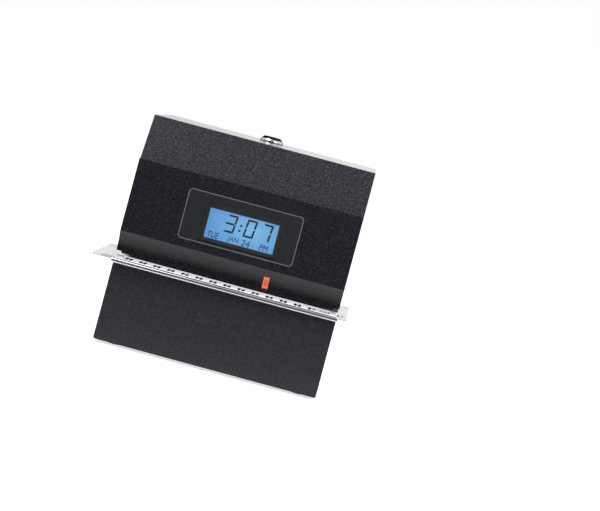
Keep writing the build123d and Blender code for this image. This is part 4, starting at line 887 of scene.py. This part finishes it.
# Bronze pressed from powder: dull gold, with fine dark pores that hold its oil.
sintered_bronze, tree, shader = new_material("sintered bronze", "#a9793f", metallic=1.0, roughness=0.45)
pores = grain(tree, size_mm=0.4, detail=4.0)
work_in(tree, shader, pores, colors=("#8c6232", "#b98a4e"), depth_mm=0.03)
dress(sintered_bronze, "carriage_bush")

# Die-cast aluminium keeps the grey, slightly pebbled skin of its mould.
cast_aluminium, tree, shader = new_material("cast aluminium", "#8f9093", metallic=1.0, roughness=0.45)
cast_skin = grain(tree, size_mm=0.8, detail=5.0)
work_in(tree, shader, cast_skin, colors=("#7d7e82", "#9d9ea1"), depth_mm=0.06)
dress(cast_aluminium, "print_head")

# Drawn steel can: its sheen is streaked along the draw.
motor_can, tree, shader = new_material("drawn motor can", "#8a8b8f", metallic=1.0, roughness=0.3)
draw_lines = grain(tree, size_mm=0.6, detail=4.0, stretch=(1, 0.05, 1))
work_in(tree, shader, draw_lines, roughness=(0.22, 0.42))
dress(motor_can, "carriage_motor", "ribbon_motor")

# Woven nylon soaked in violet-black ink, its threads drawn 0.38 mm apart, coarse so that they show.  A
# wave texture of scale 1 repeats every wave_period.
wave_period = math.pi / 10
thread_pitch = 0.37699 * MM
inked_nylon, tree, shader = new_material("inked nylon ribbon", "#17131f", roughness=0.8)
thread_place = add_node(tree, "ShaderNodeTexCoord")
threads = add_node(tree, "ShaderNodeTexWave", {"bands_direction": "X"}, {
    "Vector": (thread_place, "Object"), "Scale": wave_period / thread_pitch, "Distortion": 0.5,
})
work_in(tree, shader, threads, colors=("#120f18", "#211b2c"))
dress(inked_nylon, "ink_ribbon")

# Laminated film, cream-coloured, with the flat wires inside showing as soft bands 2.5 mm apart.
wire_pitch = 2.51327 * MM
cable_film, tree, shader = new_material("flat cable film", "#c9c7bd", roughness=0.4)
wire_place = add_node(tree, "ShaderNodeTexCoord")
wires = add_node(tree, "ShaderNodeTexWave", {"bands_direction": "X"}, {
    "Vector": (wire_place, "Object"), "Scale": wave_period / wire_pitch,
})
work_in(tree, shader, wires, colors=("#a9a79c", "#dbd9d0"), spread=(0.2, 0.8))
dress(cable_film, "flat_cable")

# Shrink film pulled tight over the cells: glossy green, with shallow creases.
cell_wrap, tree, shader = new_material("shrink-wrapped cells", "#17683a", roughness=0.3)
wrap_crease = grain(tree, size_mm=4.0, detail=3.0)
work_in(tree, shader, wrap_crease, colors=("#14592f", "#1f7a46"), depth_mm=0.1)
dress(cell_wrap, "backup_battery")

# Moulded caps in light grey ABS, plain and slightly mottled.
grey_caps, tree, shader = new_material("grey moulded caps", "#b4b4b2", roughness=0.45)
cap_skin = grain(tree, size_mm=0.5, detail=3.0)
work_in(tree, shader, cap_skin, colors=("#a6a6a4", "#bebebc"))
dress(grey_caps, "mode_button", "select_button", "change_button", "set_button")
